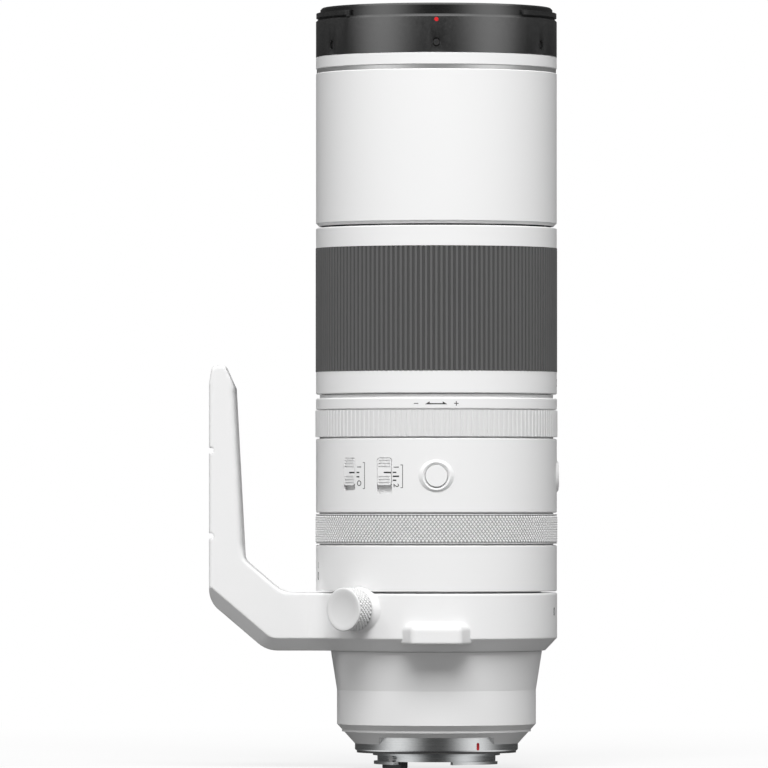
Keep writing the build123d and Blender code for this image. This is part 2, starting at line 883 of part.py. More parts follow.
def ribbed(count, outer, depth, top_share, bottom, top, inner):
    """Tube whose outside has straight ribs, each a trapezoid in section."""
    pitch = 2 * pi / count
    half_top = pitch * top_share / 2
    flank = pitch * (1 - top_share) * rib_flank_share
    rib = ((-half_top, outer), (half_top, outer),
           (half_top + flank, outer - depth), (pitch - half_top - flank, outer - depth))
    points = []
    for index in range(count):
        for turn, radius in rib:
            angle = pitch * index + turn
            points.append((radius * sin(angle), -radius * cos(angle)))
    section = make_face(Polyline(*points, close=True)) - Circle(inner)
    return extrude(Pos(0, 0, bottom) * section, top - bottom)


def torque_ring():
    return ribbed(torque_rib_count, torque_ring_radius, torque_rib_depth, torque_rib_share,
                  torque_bottom, torque_top, groove_radius + running_fit)


def index_band():
    return turned([
        (shell_bore, index_bottom),
        (barrel_radius - edge_break, index_bottom),
        (barrel_radius, index_bottom + edge_break),
        (barrel_radius, index_top - edge_break),
        (barrel_radius - edge_break, index_top),
        (groove_radius - running_fit, index_top),
        (groove_radius - running_fit, zoom_bottom - running_gap),
        (shell_bore, zoom_bottom - running_gap),
    ])


# Zoom ring: core with two rims, rubber grip, and the cam barrel on its drive sleeve
grip_rib_count = 148
grip_rib_depth = 0.55
grip_rib_share = 0.42
grip_wall = 2.2
land_length = 4.0
follower_radius = 2.0
front_follower_rise = 42.7
variator_follower_drop = 12.0
front_follower_angle = 0.0
variator_follower_angle = 60.0
slot_fit = 0.3
slot_reach = 0.6
cam_end_wall = 4.9
guide_end_wall = 12.3

front_follower_height = lower_web_top + front_follower_rise
variator_follower_height = front_follower_height - variator_follower_drop
cam_top = front_follower_height + extension_travel + cam_end_wall
guide_top = front_follower_height + extension_travel + guide_end_wall


def zoom_ring_core():
    seat = grip_radius - grip_wall
    return turned([
        (sleeve_inner, zoom_bottom),
        (barrel_radius - edge_break, zoom_bottom),
        (barrel_radius, zoom_bottom + edge_break),
        (barrel_radius, grip_bottom),
        (seat, grip_bottom),
        (seat, grip_top),
        (barrel_radius, grip_top),
        (barrel_radius, zoom_top - edge_break),
        (barrel_radius - edge_break, zoom_top),
        (sleeve_inner, zoom_top),
    ])


def zoom_grip():
    return ribbed(grip_rib_count, grip_radius, grip_rib_depth, grip_rib_share,
                  grip_bottom, grip_top, grip_radius - grip_wall)


def helical_slot(angle, start, rise, inner, outer):
    """Slot that climbs by rise while it turns through the zoom angle, with round ends."""
    half_width = follower_radius + slot_fit
    middle = (inner + outer) / 2
    depth = outer - inner + slot_reach * 2
    height = abs(rise)
    path = Rot(0, 0, -90) * Helix(height * 360 / zoom_angle, height, middle)
    section = Plane(origin=path @ 0, x_dir=(0, -1, 0), z_dir=path % 0) * Rectangle(depth, half_width * 2)
    slot = sweep(section, path=path, is_frenet=True)
    for turn, level in ((0, 0), (zoom_angle, height)):
        slot += outward(turn, inner - slot_reach, level) * extrude(Circle(half_width), depth)
    if rise < 0:
        slot = mirror(slot, about=Plane.XY)
    return Pos(0, 0, start) * Rot(0, 0, angle) * slot


def cam_barrel():
    body = tube(drive_flange_bottom, cam_top, cam_outer, cam_inner)
    body += tube(drive_flange_bottom, drive_flange_top, sleeve_outer, cam_inner)
    body += tube(drive_flange_top, zoom_bottom, sleeve_outer, sleeve_inner)
    for bottom in (drive_flange_top + land_length, control_top + land_length):
        body += tube(bottom, bottom + land_length, shell_bore - running_fit, sleeve_inner)
    for angle in spread(follower_count, front_follower_angle):
        body -= helical_slot(angle, front_follower_height, extension_travel, cam_inner, cam_outer)
    for angle in spread(follower_count, variator_follower_angle):
        body -= helical_slot(angle, variator_follower_height, -variator_travel, cam_inner, cam_outer)
    return body


def straight_slot(angle, low, high):
    width = (follower_radius + slot_fit) * 2
    length = high - low
    slot = SlotCenterToCenter(length, width, rotation=90)
    depth = guide_wall + slot_reach * 2
    return outward(angle, guide_inner - slot_reach, (low + high) / 2) * extrude(slot, depth)


def guide_barrel():
    body = tube(lower_web_top, guide_top, guide_outer, guide_inner)
    for angle in spread(follower_count, front_follower_angle):
        body -= straight_slot(angle, front_follower_height, front_follower_height + extension_travel)
    for angle in spread(follower_count, variator_follower_angle):
        body -= straight_slot(angle, variator_follower_height - variator_travel, variator_follower_height)
    return body


# Extension tube, which carries the whole front barrel through the zoom ring
extension_tail = 7.0
front_flange_thickness = 2.5
front_shoulder = 3.5
front_sleeve_wall = 2.0
sleeve_chamfer = 1.3
doublet_drop = 19.0
doublet_edge = 13.0
doublet_seat = 1.6
doublet_fit = 0.1
seat_relief = 0.4
doublet_back_bulge = 2.2
doublet_front_bulge = 2.6

extension_bottom = front_follower_height - extension_tail
extension_top = sleeve_top - front_shoulder
doublet_height = sleeve_top - doublet_drop
front_sleeve_bore = barrel_radius - front_sleeve_wall


def extension_tube():
    flange_bottom = extension_top - front_flange_thickness
    body = turned([
        (extension_inner, extension_bottom),
        (extension_outer, extension_bottom),
        (extension_outer, flange_bottom),
        (front_sleeve_bore - pin_fit, flange_bottom),
        (front_sleeve_bore - pin_fit, extension_top),
        (extension_inner, extension_top),
        (extension_inner, doublet_height),
        (extension_inner - doublet_seat, doublet_height - seat_relief),
        (extension_inner - doublet_seat, doublet_height - doublet_seat),
        (extension_inner, doublet_height - doublet_seat * 2),
    ])
    for angle in spread(follower_count, front_follower_angle):
        hole = extrude(Circle(follower_radius), extension_wall + slot_reach * 2)
        body -= outward(angle, extension_inner - slot_reach, front_follower_height) * hole
    return body


def front_followers():
    inner = guide_inner + slot_fit
    pin = extrude(Circle(follower_radius), extension_outer - running_fit - inner)
    pins = [outward(angle, inner, front_follower_height) * pin
            for angle in spread(follower_count, front_follower_angle)]
    return Compound(pins)


def front_doublet():
    return lens(extension_inner - doublet_fit, doublet_height, doublet_edge,
                doublet_back_bulge, doublet_front_bulge)


def front_sleeve():
    shoulder = extension_outer + running_fit
    return turned([
        (front_sleeve_bore, sleeve_bottom),
        (barrel_radius - sleeve_chamfer, sleeve_bottom),
        (barrel_radius, sleeve_bottom + sleeve_chamfer),
        (barrel_radius, sleeve_top - edge_break),
        (barrel_radius - edge_break, sleeve_top),
        (shoulder, sleeve_top),
        (shoulder, extension_top),
        (front_sleeve_bore, extension_top),
    ])


# Variator group, which slides inside the guide barrel
variator_length = 16.0
variator_wall = 10.0
variator_seat = 1.4
variator_lens_edge = 8.0
variator_bulge = 2.4
variator_pin_depth = 3.0
variator_fit = 0.2

variator_outer = guide_inner - variator_fit
variator_lens_radius = variator_outer - variator_wall


def variator_cell():
    low = variator_follower_height - variator_length / 2
    high = low + variator_length
    body = turned([
        (variator_lens_radius - variator_seat, low),
        (variator_outer, low),
        (variator_outer, high),
        (variator_lens_radius, high),
        (variator_lens_radius, low + variator_seat),
        (variator_lens_radius - variator_seat, low + variator_seat),
    ])
    for angle in spread(follower_count, variator_follower_angle):
        hole = extrude(Circle(follower_radius), variator_pin_depth + overrun)
        body -= outward(angle, variator_outer - variator_pin_depth, variator_follower_height) * hole
    return body


def variator_followers():
    inner = variator_outer - variator_pin_depth
    pin = extrude(Circle(follower_radius), cam_outer - variator_fit - inner)
    pins = [outward(angle, inner, variator_follower_height) * pin
            for angle in spread(follower_count, variator_follower_angle)]
    return Compound(pins)


def variator_lens():
    low = variator_follower_height - variator_length / 2 + variator_seat
    return lens(variator_lens_radius, low, variator_lens_edge, -variator_bulge, -variator_bulge)


# Front rings: accent, trim and the filter ring with its hood bayonet
accent_recess = 0.3
ring_wall = 3.5
spigot_fit = 0.1
filter_chamfer = 1.1
hood_groove_depth = 1.5
front_lip_step = 0.3
front_lip_round = 0.8
hood_tab_stand = 1.4
hood_tab_inset = 0.4
hood_tab_first_angle = 46.0
hood_tab_last_angle = 134.0
hood_stop_span = 2.0
filter_thread_wall = 2.0
filter_thread_depth = 8.6
retainer_step = 0.6
lens_bore_step = 1.4
lens_clearance = 0.1
front_lens_seat_height = 4.5
front_lens_seat = 1.9
front_lens_edge = 9.0
front_lens_back_bulge = 1.0
front_lens_front_bulge = 4.6
retaining_length = 4.4
retaining_rise = 0.6
retaining_wall = 1.9
spanner_width = 2.4
spanner_depth = 1.2
side_screw_count = 6
side_screw_height = 4.1
side_screw_head = 1.25
side_screw_head_length = 0.7
side_screw_shank = 0.8
side_screw_shank_length = 1.3
side_recess_width = 2.7
side_recess_height = 4.0
side_recess_depth = 1.5
side_drive_share = 1.4

ring_bore = barrel_radius - ring_wall
ring_spigot_radius = ring_bore - spigot_fit
hood_groove_radius = barrel_radius - hood_groove_depth
front_lip_radius = hood_groove_radius - front_lip_step
hood_tab_radius = hood_groove_radius + hood_tab_stand
filter_thread_radius = hood_groove_radius - filter_thread_wall
retainer_bore = filter_thread_radius - retainer_step
lens_bore = retainer_bore - lens_bore_step
filter_thread_bottom = front_top - filter_thread_depth
lens_seat_level = sleeve_top + front_lens_seat_height
lens_edge_top = lens_seat_level + front_lens_edge
side_screw_level = trim_top + side_screw_height


def accent_ring():
    return tube(sleeve_top, accent_top, barrel_radius - accent_recess, ring_bore)


def front_trim_ring():
    return chamfered_tube(accent_top, trim_top, barrel_radius, ring_bore, edge_break)


def filter_ring():
    body = turned([
        (lens_bore - front_lens_seat, sleeve_top),
        (ring_spigot_radius, sleeve_top),
        (ring_spigot_radius, trim_top),
        (filter_ring_radius, trim_top),
        (filter_ring_radius, hood_groove_bottom - filter_chamfer),
        (filter_ring_radius - filter_chamfer, hood_groove_bottom),
        (hood_groove_radius, hood_groove_bottom),
        (hood_groove_radius, front_lip_bottom),
        (front_lip_radius, front_lip_bottom),
        (front_lip_radius, front_top - front_lip_round),
        (front_lip_radius - front_lip_round, front_top),
        (filter_thread_radius, front_top),
        (filter_thread_radius, filter_thread_bottom),
        (retainer_bore, filter_thread_bottom),
        (retainer_bore, lens_edge_top),
        (lens_bore, lens_edge_top),
        (lens_bore, lens_seat_level),
        (lens_bore - front_lens_seat, lens_seat_level - seat_relief),
    ])
    tab_bottom = hood_groove_bottom + hood_tab_inset
    tab_top = front_lip_bottom - hood_tab_inset
    half_wall = (hood_groove_radius + filter_thread_radius) / 2
    for turn in (0, 180):
        body += sector(half_wall, hood_tab_radius, tab_bottom, tab_top,
                       turn + hood_tab_first_angle, turn + hood_tab_last_angle)
        body += sector(half_wall, hood_tab_radius, hood_groove_bottom - hood_tab_inset, tab_bottom,
                       turn + hood_tab_last_angle - hood_stop_span, turn + hood_tab_last_angle)
    recess = SlotCenterToCenter(side_recess_height - side_recess_width, side_recess_width, rotation=90)
    floor = filter_ring_radius - side_recess_depth
    hole = extrude(Circle(side_screw_shank), side_screw_shank_length)
    for angle in spread(side_screw_count):
        body -= outward(angle, floor, side_screw_level) * extrude(recess, side_recess_depth + overrun)
        body -= outward(angle, floor - side_screw_shank_length, side_screw_level) * hole
    return body


def filter_ring_screws():
    floor = filter_ring_radius - side_recess_depth
    head = extrude(Circle(side_screw_head), side_screw_head_length)
    drive_length = side_screw_head * side_drive_share
    bar = Box(drive_length, side_screw_head * drive_width_share, side_screw_head_length)
    cross = bar + Rot(0, 0, 90) * bar
    head -= Pos(0, 0, side_screw_head_length) * cross
    shank = extrude(Circle(side_screw_shank), side_screw_shank_length)
    screw = head + Pos(0, 0, -side_screw_shank_length) * shank
    return Compound([outward(angle, floor, side_screw_level) * screw for angle in spread(side_screw_count)])


def front_lens():
    return lens(lens_bore - lens_clearance, lens_seat_level, front_lens_edge,
                front_lens_back_bulge, front_lens_front_bulge)


def retaining_ring():
    outer = retainer_bore - pin_fit
    inner = lens_bore - retaining_wall
    top = lens_edge_top + retaining_length
    body = turned([
        (inner, lens_edge_top + retaining_rise),
        (lens_bore - lens_clearance, lens_edge_top),
        (outer, lens_edge_top),
        (outer, top),
        (inner, top - retaining_rise),
    ])
    for side in (90, -90):
        notch = Box(spanner_width, outer - inner + overrun, spanner_depth * 2)
        body -= on_axis(side, (outer + inner) / 2, top) * notch
    return body


# Tripod collar: ring, clamp boss, strap lugs and the long foot in one casting
collar_cone_height = 5.3
collar_cone_depth = 5.0
collar_fit = 0.1
foot_stand = 44.9
foot_height = 120.3
foot_width = 36.0
foot_slope = 40.4
foot_outer_base_stand = 20.65
foot_inner_base_stand = 13.55
foot_root_thickness = 14.9
foot_tip_thickness = 11.0
foot_tip_inner = 6.7
foot_tip_outer = 1.25
foot_tip_inner_bevel = 9.6
foot_tip_outer_bevel = 7.4
foot_elbow_radius = 11.0
foot_base_radius = 12.5
foot_inner_radius = 4.5
foot_tip_radius = 1.3
foot_tip_outer_radius = 2.4
foot_edge_radius = 1.4
foot_blend_radius = 10.0
foot_bevel_from = 0.2
foot_top_bevel = 1.7
foot_inner_bevel = 3.0
foot_inner_bevel_depth = 7.0
foot_room = 15.0
foot_anchor_depth = 4.3
foot_thread_height = 66.4
foot_notch_spacing = 18.05
foot_notch_height = 2.5
foot_notch_depth = 2.0
insert_radius = 5.0
insert_length = 9.0
tripod_thread_radius = 3.175
tripod_thread_depth = 8.0
knob_angle = -39.0
knob_from_top = 6.6
boss_radius = 8.8
boss_stand = 1.8
boss_root_wall = 2.7
boss_flare = 4.0
boss_edge = 0.6
knob_radius = 9.1
knob_length = 9.3
knob_dish = 0.8
knob_rim = 1.2
knob_edge = 0.5
stem_radius = 2.5
stem_engagement = 1.9
stem_fit = 0.2
shoe_radius = 4.0
shoe_length = 4.2
shoe_fit = 0.15
shoe_travel = 0.5
shoe_socket = 2.0
lug_width = 20.5
lug_root_width = 31.7
lug_root_wall = 1.2
lug_stand = 6.5
lug_from_bottom = 3.2
lug_height = 8.7
lug_corner = 3.3
lug_top_radius = 3.2
lug_bottom_radius = 0.8
lug_slot_width = 19.0
lug_slot_depth = 3.2
lug_bar = 3.0

collar_bore = seat_radius + collar_fit
collar_root = collar_bore + boss_root_wall
foot_reach = barrel_radius + foot_stand
foot_outer_base = barrel_radius + foot_outer_base_stand
foot_inner_base = barrel_radius + foot_inner_base_stand
foot_anchor = collar_bore - foot_anchor_depth
boss_reach = barrel_radius + boss_stand
knob_face = boss_reach + knob_length
shoe_top = collar_bore + shoe_length
stem_end = shoe_top - stem_engagement
lug_root = collar_bore + lug_root_wall
lug_reach = barrel_radius + lug_stand
knob_level = collar_top - knob_from_top
foot_tan = tan(radians(foot_slope))
foot_cos = cos(radians(foot_slope))
foot_elbow = collar_bottom + (foot_reach - foot_outer_base) * foot_tan
foot_inner_x = foot_reach - foot_root_thickness
foot_inner_corner = collar_top + (foot_inner_x - foot_inner_base) * foot_tan
foot_top = collar_bottom + foot_height
thread_level = collar_bottom + foot_thread_height


def foot_outline():
    outline = FilletPolyline(
        (-foot_anchor, collar_bottom),
        (-foot_outer_base, collar_bottom),
        (-foot_reach, foot_elbow),
        (-foot_reach, foot_top - foot_tip_outer_bevel),
        (-foot_reach + foot_tip_outer, foot_top),
        (-foot_reach + foot_tip_inner, foot_top),
        (-foot_reach + foot_tip_thickness, foot_top - foot_tip_inner_bevel),
        (-foot_inner_x, foot_inner_corner),
        (-foot_inner_base, collar_top),
        (-foot_anchor, collar_top),
        radius=[foot_base_radius, foot_elbow_radius, foot_tip_radius, foot_tip_outer_radius, foot_tip_radius,
                foot_tip_radius, foot_inner_radius, foot_base_radius],
    )
    return make_face(outline + Line(outline @ 1, outline @ 0))


def outer_room(share):
    # what lies under the foot's lower edge, moved into the foot by a share of the bevel
    inset = share * collar_cone_height
    end = foot_reach + foot_room
    floor = collar_bottom - foot_room
    base = foot_outer_base - inset * tan(radians(foot_slope / 2))
    edge = FilletPolyline(
        (-foot_anchor, collar_bottom + inset),
        (-base, collar_bottom + inset),
        (-end, collar_bottom + inset + (end - base) * foot_tan),
        radius=foot_base_radius - inset,
    )
    return make_face(edge + Polyline(edge @ 1, (-end, floor), (-foot_anchor, floor), edge @ 0))


def inner_room(share):
    # the gap behind the foot, moved into the foot by a share of the bevel that ends at the tip
    top = share * foot_top_bevel
    side = share * foot_inner_bevel
    tip = (-foot_reach + foot_tip_thickness, foot_top - foot_tip_inner_bevel)
    edge = FilletPolyline(
        (-collar_radius, collar_top + foot_bevel_from),
        (-foot_inner_base, collar_top - top),
        (-foot_inner_x - side, foot_inner_corner + side * foot_tan - top / foot_cos),
        tip,
        radius=[foot_base_radius + top, foot_inner_radius + side],
    )
    return make_face(edge + Polyline(tip, (-collar_radius, foot_top - foot_tip_inner_bevel), edge @ 0))


def rim_bevel(room, depth):
    # the bevel reaches depth back from the foot's side and goes on past it by the same depth
    near = Plane.XZ.offset(foot_width / 2 - 2 * depth) * room(-1)
    far = Plane.XZ.offset(foot_width / 2 + depth) * room(2)
    body = loft([near, far], ruled=True)
    return body + mirror(body, Plane.XZ)


def collar_plan(inset):
    # the collar's circle with the foot's arm blended into it
    strip = Rectangle(foot_inner_base - inset, foot_width - 2 * inset, align=(Align.MAX, Align.CENTER))
    plan = Circle(collar_radius - inset) + strip
    corners = plan.vertices().filter_by(lambda vertex: -collar_radius < vertex.X < 0)
    return fillet(corners, foot_blend_radius + inset)


def collar_ring():
    cone_top = collar_bottom + collar_cone_height
    straight_top = collar_top - edge_break
    low = Pos(0, 0, collar_bottom) * collar_plan(collar_cone_depth)
    middle = Pos(0, 0, cone_top) * collar_plan(0)
    body = loft([low, middle], ruled=True) + extrude(middle, straight_top - cone_top)
    high = Pos(0, 0, straight_top) * collar_plan(0)
    return body + loft([high, Pos(0, 0, collar_top) * collar_plan(edge_break)], ruled=True)


def foot():
    body = extrude(Plane.XZ * foot_outline(), foot_width / 2, both=True)
    rims = body.edges().filter_by(lambda edge: abs(abs(edge.center().Y) - foot_width / 2) < pin_fit)
    rims = rims.filter_by(lambda edge: edge.center().X < -foot_anchor - pin_fit)
    return fillet(rims, foot_edge_radius) - rim_bevel(outer_room, collar_cone_depth)


def strap_lug(angle):
    bottom = collar_bottom + lug_from_bottom
    plan = make_face(Polyline(
        (-lug_root_width / 2, -lug_root),
        (-lug_width / 2, -lug_reach),
        (lug_width / 2, -lug_reach),
        (lug_root_width / 2, -lug_root),
        close=True,
    ))
    plan = fillet(plan.vertices().group_by(Axis.Y)[0], lug_corner)
    body = extrude(Pos(0, 0, bottom) * plan, lug_height)
    rims = body.edges().filter_by(lambda edge: edge.center().Y < -lug_root - pin_fit).group_by(Axis.Z)
    body = fillet(rims[-1], lug_top_radius)
    rims = body.edges().filter_by(lambda edge: edge.center().Y < -lug_root - pin_fit).group_by(Axis.Z)
    body = fillet(rims[0], lug_bottom_radius)
    slot = RectangleRounded(lug_slot_width, lug_slot_depth, lug_slot_depth * round_share)
    slot_middle = lug_reach - lug_bar - lug_slot_depth / 2
    body -= extrude(Pos(0, -slot_middle, bottom - overrun) * slot, lug_height + overrun * 2)
    return Rot(0, 0, angle) * body


def tripod_collar():
    body = collar_ring() + foot()
    body -= rim_bevel(inner_room, foot_inner_bevel_depth)
    for angle in (0, 180):
        body += strap_lug(angle)
    boss = turned([(0, collar_root), (boss_radius + boss_flare, collar_root),
                   (boss_radius, boss_reach - boss_edge), (boss_radius - boss_edge, boss_reach), (0, boss_reach)])
    boss = outward(knob_angle, 0, knob_level) * boss
    boss -= disc(collar_top, collar_top + boss_radius, barrel_radius + running_gap)
    body += boss
    body -= disc(collar_bottom - overrun, collar_top + overrun, collar_bore)
    shoe_room = shoe_top + shoe_travel + shoe_fit
    shoe_bore = extrude(Circle(shoe_radius + shoe_fit), shoe_room - collar_bore + overrun)
    body -= outward(knob_angle, collar_bore - overrun, knob_level) * shoe_bore
    stem_bore = extrude(Circle(stem_radius + stem_fit), boss_reach - collar_bore + overrun)
    body -= outward(knob_angle, collar_bore, knob_level) * stem_bore
    insert_seat = Cylinder(insert_radius, insert_length * 2)
    body -= Pos(-foot_reach, 0, thread_level) * Rot(0, 90, 0) * insert_seat
    notch = Box(foot_notch_depth * 2, foot_width + overrun, foot_notch_height)
    notch = fillet(notch.edges().filter_by(Axis.Y), foot_notch_height * round_share)
    for side in (1, -1):
        body -= Pos(-foot_reach, 0, thread_level + side * foot_notch_spacing) * notch
    return body


def foot_insert():
    body = turned([(0, 0), (insert_radius, 0), (insert_radius, insert_length), (0, insert_length)])
    body -= disc(insert_length - tripod_thread_depth, insert_length + overrun, tripod_thread_radius)
    return Pos(-foot_reach + insert_length, 0, thread_level) * Rot(0, -90, 0) * body


def clamp_shoe():
    socket = extrude(Circle(stem_radius + pin_fit), shoe_socket + overrun)
    body = extrude(Circle(shoe_radius), shoe_top) - Pos(0, 0, shoe_top - shoe_socket) * socket
    body = outward(knob_angle, 0, knob_level) * body
    return body - disc(0, lower_top, collar_bore)


def clamp_knob():
    bottom = boss_reach + running_gap
    body = turned([
        (0, stem_end),
        (stem_radius, stem_end),
        (stem_radius, bottom),
        (knob_radius - knob_edge, bottom),
        (knob_radius, bottom + knob_edge),
        (knob_radius, knob_face - knob_edge),
        (knob_radius - knob_edge, knob_face),
        (knob_radius - knob_rim, knob_face),
        (knob_radius - knob_rim - knob_dish, knob_face - knob_dish),
        (0, knob_face - knob_dish),
    ])
    return outward(knob_angle, 0, knob_level) * body


nodes = {
    "mount_flange": mount_flange,
    "mount_screws": mount_screws,
    "mount_stop_pin": mount_stop_pin,
    "mount_seal": mount_seal,
    "rear_barrel": rear_barrel,
    "rear_lens_cell": rear_lens_cell,
    "rear_lens": rear_lens,
    "rear_baffle": rear_baffle,
    "contact_block": contact_block,
    "contact_pins": contact_pins,
    "circuit_board": circuit_board,
    "focus_rods": focus_rods,
    "focus_cell": focus_cell,
    "focus_lens": focus_lens,
    "focus_motor": focus_motor,
    "stabiliser_base": stabiliser_base,
    "stabiliser_guide": stabiliser_guide,
    "stabiliser_frame": stabiliser_frame,
    "stabiliser_lens": stabiliser_lens,
    "iris_base": iris_base,
    "iris_drive_ring": iris_drive_ring,
    "lower_barrel": lower_barrel,
    "control_ring": control_ring,
    "control_barrel": control_barrel,
    "torque_ring": torque_ring,
    "index_band": index_band,
    "zoom_ring_core": zoom_ring_core,
    "zoom_grip": zoom_grip,
    "cam_barrel": cam_barrel,
    "guide_barrel": guide_barrel,
    "extension_tube": extension_tube,
    "front_followers": front_followers,
    "front_doublet": front_doublet,
    "front_sleeve": front_sleeve,
    "accent_ring": accent_ring,
    "front_trim_ring": front_trim_ring,
    "filter_ring": filter_ring,
    "filter_ring_screws": filter_ring_screws,
    "front_lens": front_lens,
    "retaining_ring": retaining_ring,
    "variator_cell": variator_cell,
    "variator_followers": variator_followers,
    "variator_lens": variator_lens,
    "tripod_collar": tripod_collar,
    "foot_insert": foot_insert,
    "clamp_shoe": clamp_shoe,
    "clamp_knob": clamp_knob,
    "function_button_front": lambda: function_button(button_angles[0]),
    "function_button_side": lambda: function_button(button_angles[1]),
    "focus_switch": lambda: switch_knob(focus_switch_angle),
    "stabiliser_switch": lambda: switch_knob(stabiliser_switch_angle),
}

for name, make in nodes.items():
    export_step(make(), f"parts/{name}.step")

for index in range(blade_count):
    export_step(iris_blade(index), f"parts/iris_blade_{index + 1}.step")
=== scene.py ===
import math

import bmesh
import bpy
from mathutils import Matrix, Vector


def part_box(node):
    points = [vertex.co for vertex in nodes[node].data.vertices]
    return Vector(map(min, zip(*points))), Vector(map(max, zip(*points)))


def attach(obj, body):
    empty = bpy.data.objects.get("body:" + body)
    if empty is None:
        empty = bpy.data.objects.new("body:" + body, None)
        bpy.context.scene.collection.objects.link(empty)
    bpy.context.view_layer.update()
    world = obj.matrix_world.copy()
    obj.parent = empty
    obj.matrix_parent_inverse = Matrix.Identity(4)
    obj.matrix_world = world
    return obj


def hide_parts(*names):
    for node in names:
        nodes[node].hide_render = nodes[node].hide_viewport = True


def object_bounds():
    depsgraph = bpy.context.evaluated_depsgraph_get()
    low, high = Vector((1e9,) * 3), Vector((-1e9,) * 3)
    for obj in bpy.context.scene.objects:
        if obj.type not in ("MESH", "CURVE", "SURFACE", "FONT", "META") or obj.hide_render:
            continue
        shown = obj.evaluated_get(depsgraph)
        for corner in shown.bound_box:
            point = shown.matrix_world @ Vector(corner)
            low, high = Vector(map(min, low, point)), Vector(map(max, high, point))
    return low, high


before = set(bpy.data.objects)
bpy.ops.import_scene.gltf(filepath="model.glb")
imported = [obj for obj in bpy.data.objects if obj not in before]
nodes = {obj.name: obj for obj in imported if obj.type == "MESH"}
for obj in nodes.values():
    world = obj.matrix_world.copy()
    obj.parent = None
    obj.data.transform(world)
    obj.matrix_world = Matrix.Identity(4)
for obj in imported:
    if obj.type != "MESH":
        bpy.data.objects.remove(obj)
cadLow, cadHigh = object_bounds()
scene = bpy.context.scene
mm = 0.001
print("frame loaded:", len(nodes), "nodes")


# Camera, from the front and a little below the middle of the barrel
cameraSettings = {
    "place": (0, -3.94, 0.1038),
    "aim": (-0.0222, 0, 0.155),
    "focalLength": 436,
    "sensorWidth": 36,
    "nearClip": 0.05,
}


def makeCamera(settings):
    data = bpy.data.cameras.new("photoCamera")
    data.lens = settings["focalLength"]
    data.sensor_width = settings["sensorWidth"]
    data.clip_start = settings["nearClip"]
    camera = bpy.data.objects.new("photoCamera", data)
    camera.location = settings["place"]
    gaze = Vector(settings["aim"]) - Vector(settings["place"])
    camera.rotation_euler = gaze.to_track_quat("-Z", "Y").to_euler()
    scene.collection.objects.link(camera)
    scene.camera = camera


makeCamera(cameraSettings)
scene.view_settings.view_transform = "Standard"
print("camera set")


# Small helpers for meshes. Azimuth 0 faces the camera and grows towards +X
def onBarrel(radius, azimuth, height):
    turn = math.radians(azimuth)
    return Vector((radius * math.sin(turn), -radius * math.cos(turn), height)) * mm


def linkMesh(name, mesh, material):
    piece = bpy.data.objects.new(name, mesh)
    scene.collection.objects.link(piece)
    mesh.materials.append(material)
    return piece


def addMesh(name, points, faces, material):
    mesh = bpy.data.meshes.new(name)
    mesh.from_pydata([tuple(p) for p in points], [], faces)
    mesh.update()
    return linkMesh(name, mesh, material)


# Colours, given as the levels of a picture
srgb = {
    "levels": 255,
    "straightShare": 0.04045,
    "straightSlope": 12.92,
    "offset": 0.055,
    "power": 2.4,
}


def linear(level):
    share = level / srgb["levels"]
    if share <= srgb["straightShare"]:
        return share / srgb["straightSlope"]
    return ((share + srgb["offset"]) / (1 + srgb["offset"])) ** srgb["power"]


def tone(red, green, blue):
    return (linear(red), linear(green), linear(blue), 1.0)


def grey(level):
    return tone(level, level, level)


# Shader helpers. A value given to a node is a socket to link or a plain value to set
mixSlots = {"share": 0, "first": 6, "second": 7, "result": 2}


def addNode(tree, kind, **values):
    node = tree.nodes.new(kind)
    for name, value in values.items():
        if hasattr(node, name):
            setattr(node, name, value)
        else:
            node.inputs[name.replace("_", " ")].default_value = value
    return node


def feed(tree, value, slot):
    if isinstance(value, bpy.types.NodeSocket):
        tree.links.new(value, slot)
    else:
        slot.default_value = value


def mathNode(tree, operation, *values):
    node = addNode(tree, "ShaderNodeMath", operation=operation)
    for value, slot in zip(values, node.inputs):
        feed(tree, value, slot)
    return node.outputs[0]


def mapRange(tree, value, low, high, **more):
    node = addNode(tree, "ShaderNodeMapRange", From_Min=low, From_Max=high, **more)
    tree.links.new(value, node.inputs["Value"])
    return node.outputs[0]


def mixColors(tree, share, first, second):
    mix = addNode(tree, "ShaderNodeMix", data_type="RGBA")
    for label, value in (("share", share), ("first", first), ("second", second)):
        feed(tree, value, mix.inputs[mixSlots[label]])
    return mix.outputs[mixSlots["result"]]


def objectPlace(tree):
    return addNode(tree, "ShaderNodeTexCoord").outputs["Object"]


def splitVector(tree, vector):
    split = addNode(tree, "ShaderNodeSeparateXYZ")
    tree.links.new(vector, split.inputs[0])
    return split.outputs


def noiseNode(tree, place, scale, detail):
    noise = addNode(tree, "ShaderNodeTexNoise", Detail=detail)
    tree.links.new(place, noise.inputs["Vector"])
    feed(tree, scale, noise.inputs["Scale"])
    return noise.outputs["Fac"]


def axisDistance(tree, place):
    # how far a point lies from the barrel's axis
    flat = addNode(tree, "ShaderNodeVectorMath", operation="MULTIPLY")
    tree.links.new(place, flat.inputs[0])
    flat.inputs[1].default_value = (1, 1, 0)
    reach = addNode(tree, "ShaderNodeVectorMath", operation="LENGTH")
    tree.links.new(flat.outputs[0], reach.inputs[0])
    return reach.outputs["Value"]


def newGroup(name, inputs, outputs):
    group = bpy.data.node_groups.new(name, "ShaderNodeTree")
    for way, labels in (("INPUT", inputs), ("OUTPUT", outputs)):
        for label in labels:
            kind = "NodeSocketColor" if label == "Color" else "NodeSocketFloat"
            group.interface.new_socket(label, in_out=way, socket_type=kind)
    given, result = group.nodes.new("NodeGroupInput"), group.nodes.new("NodeGroupOutput")
    return group, given.outputs, result.inputs


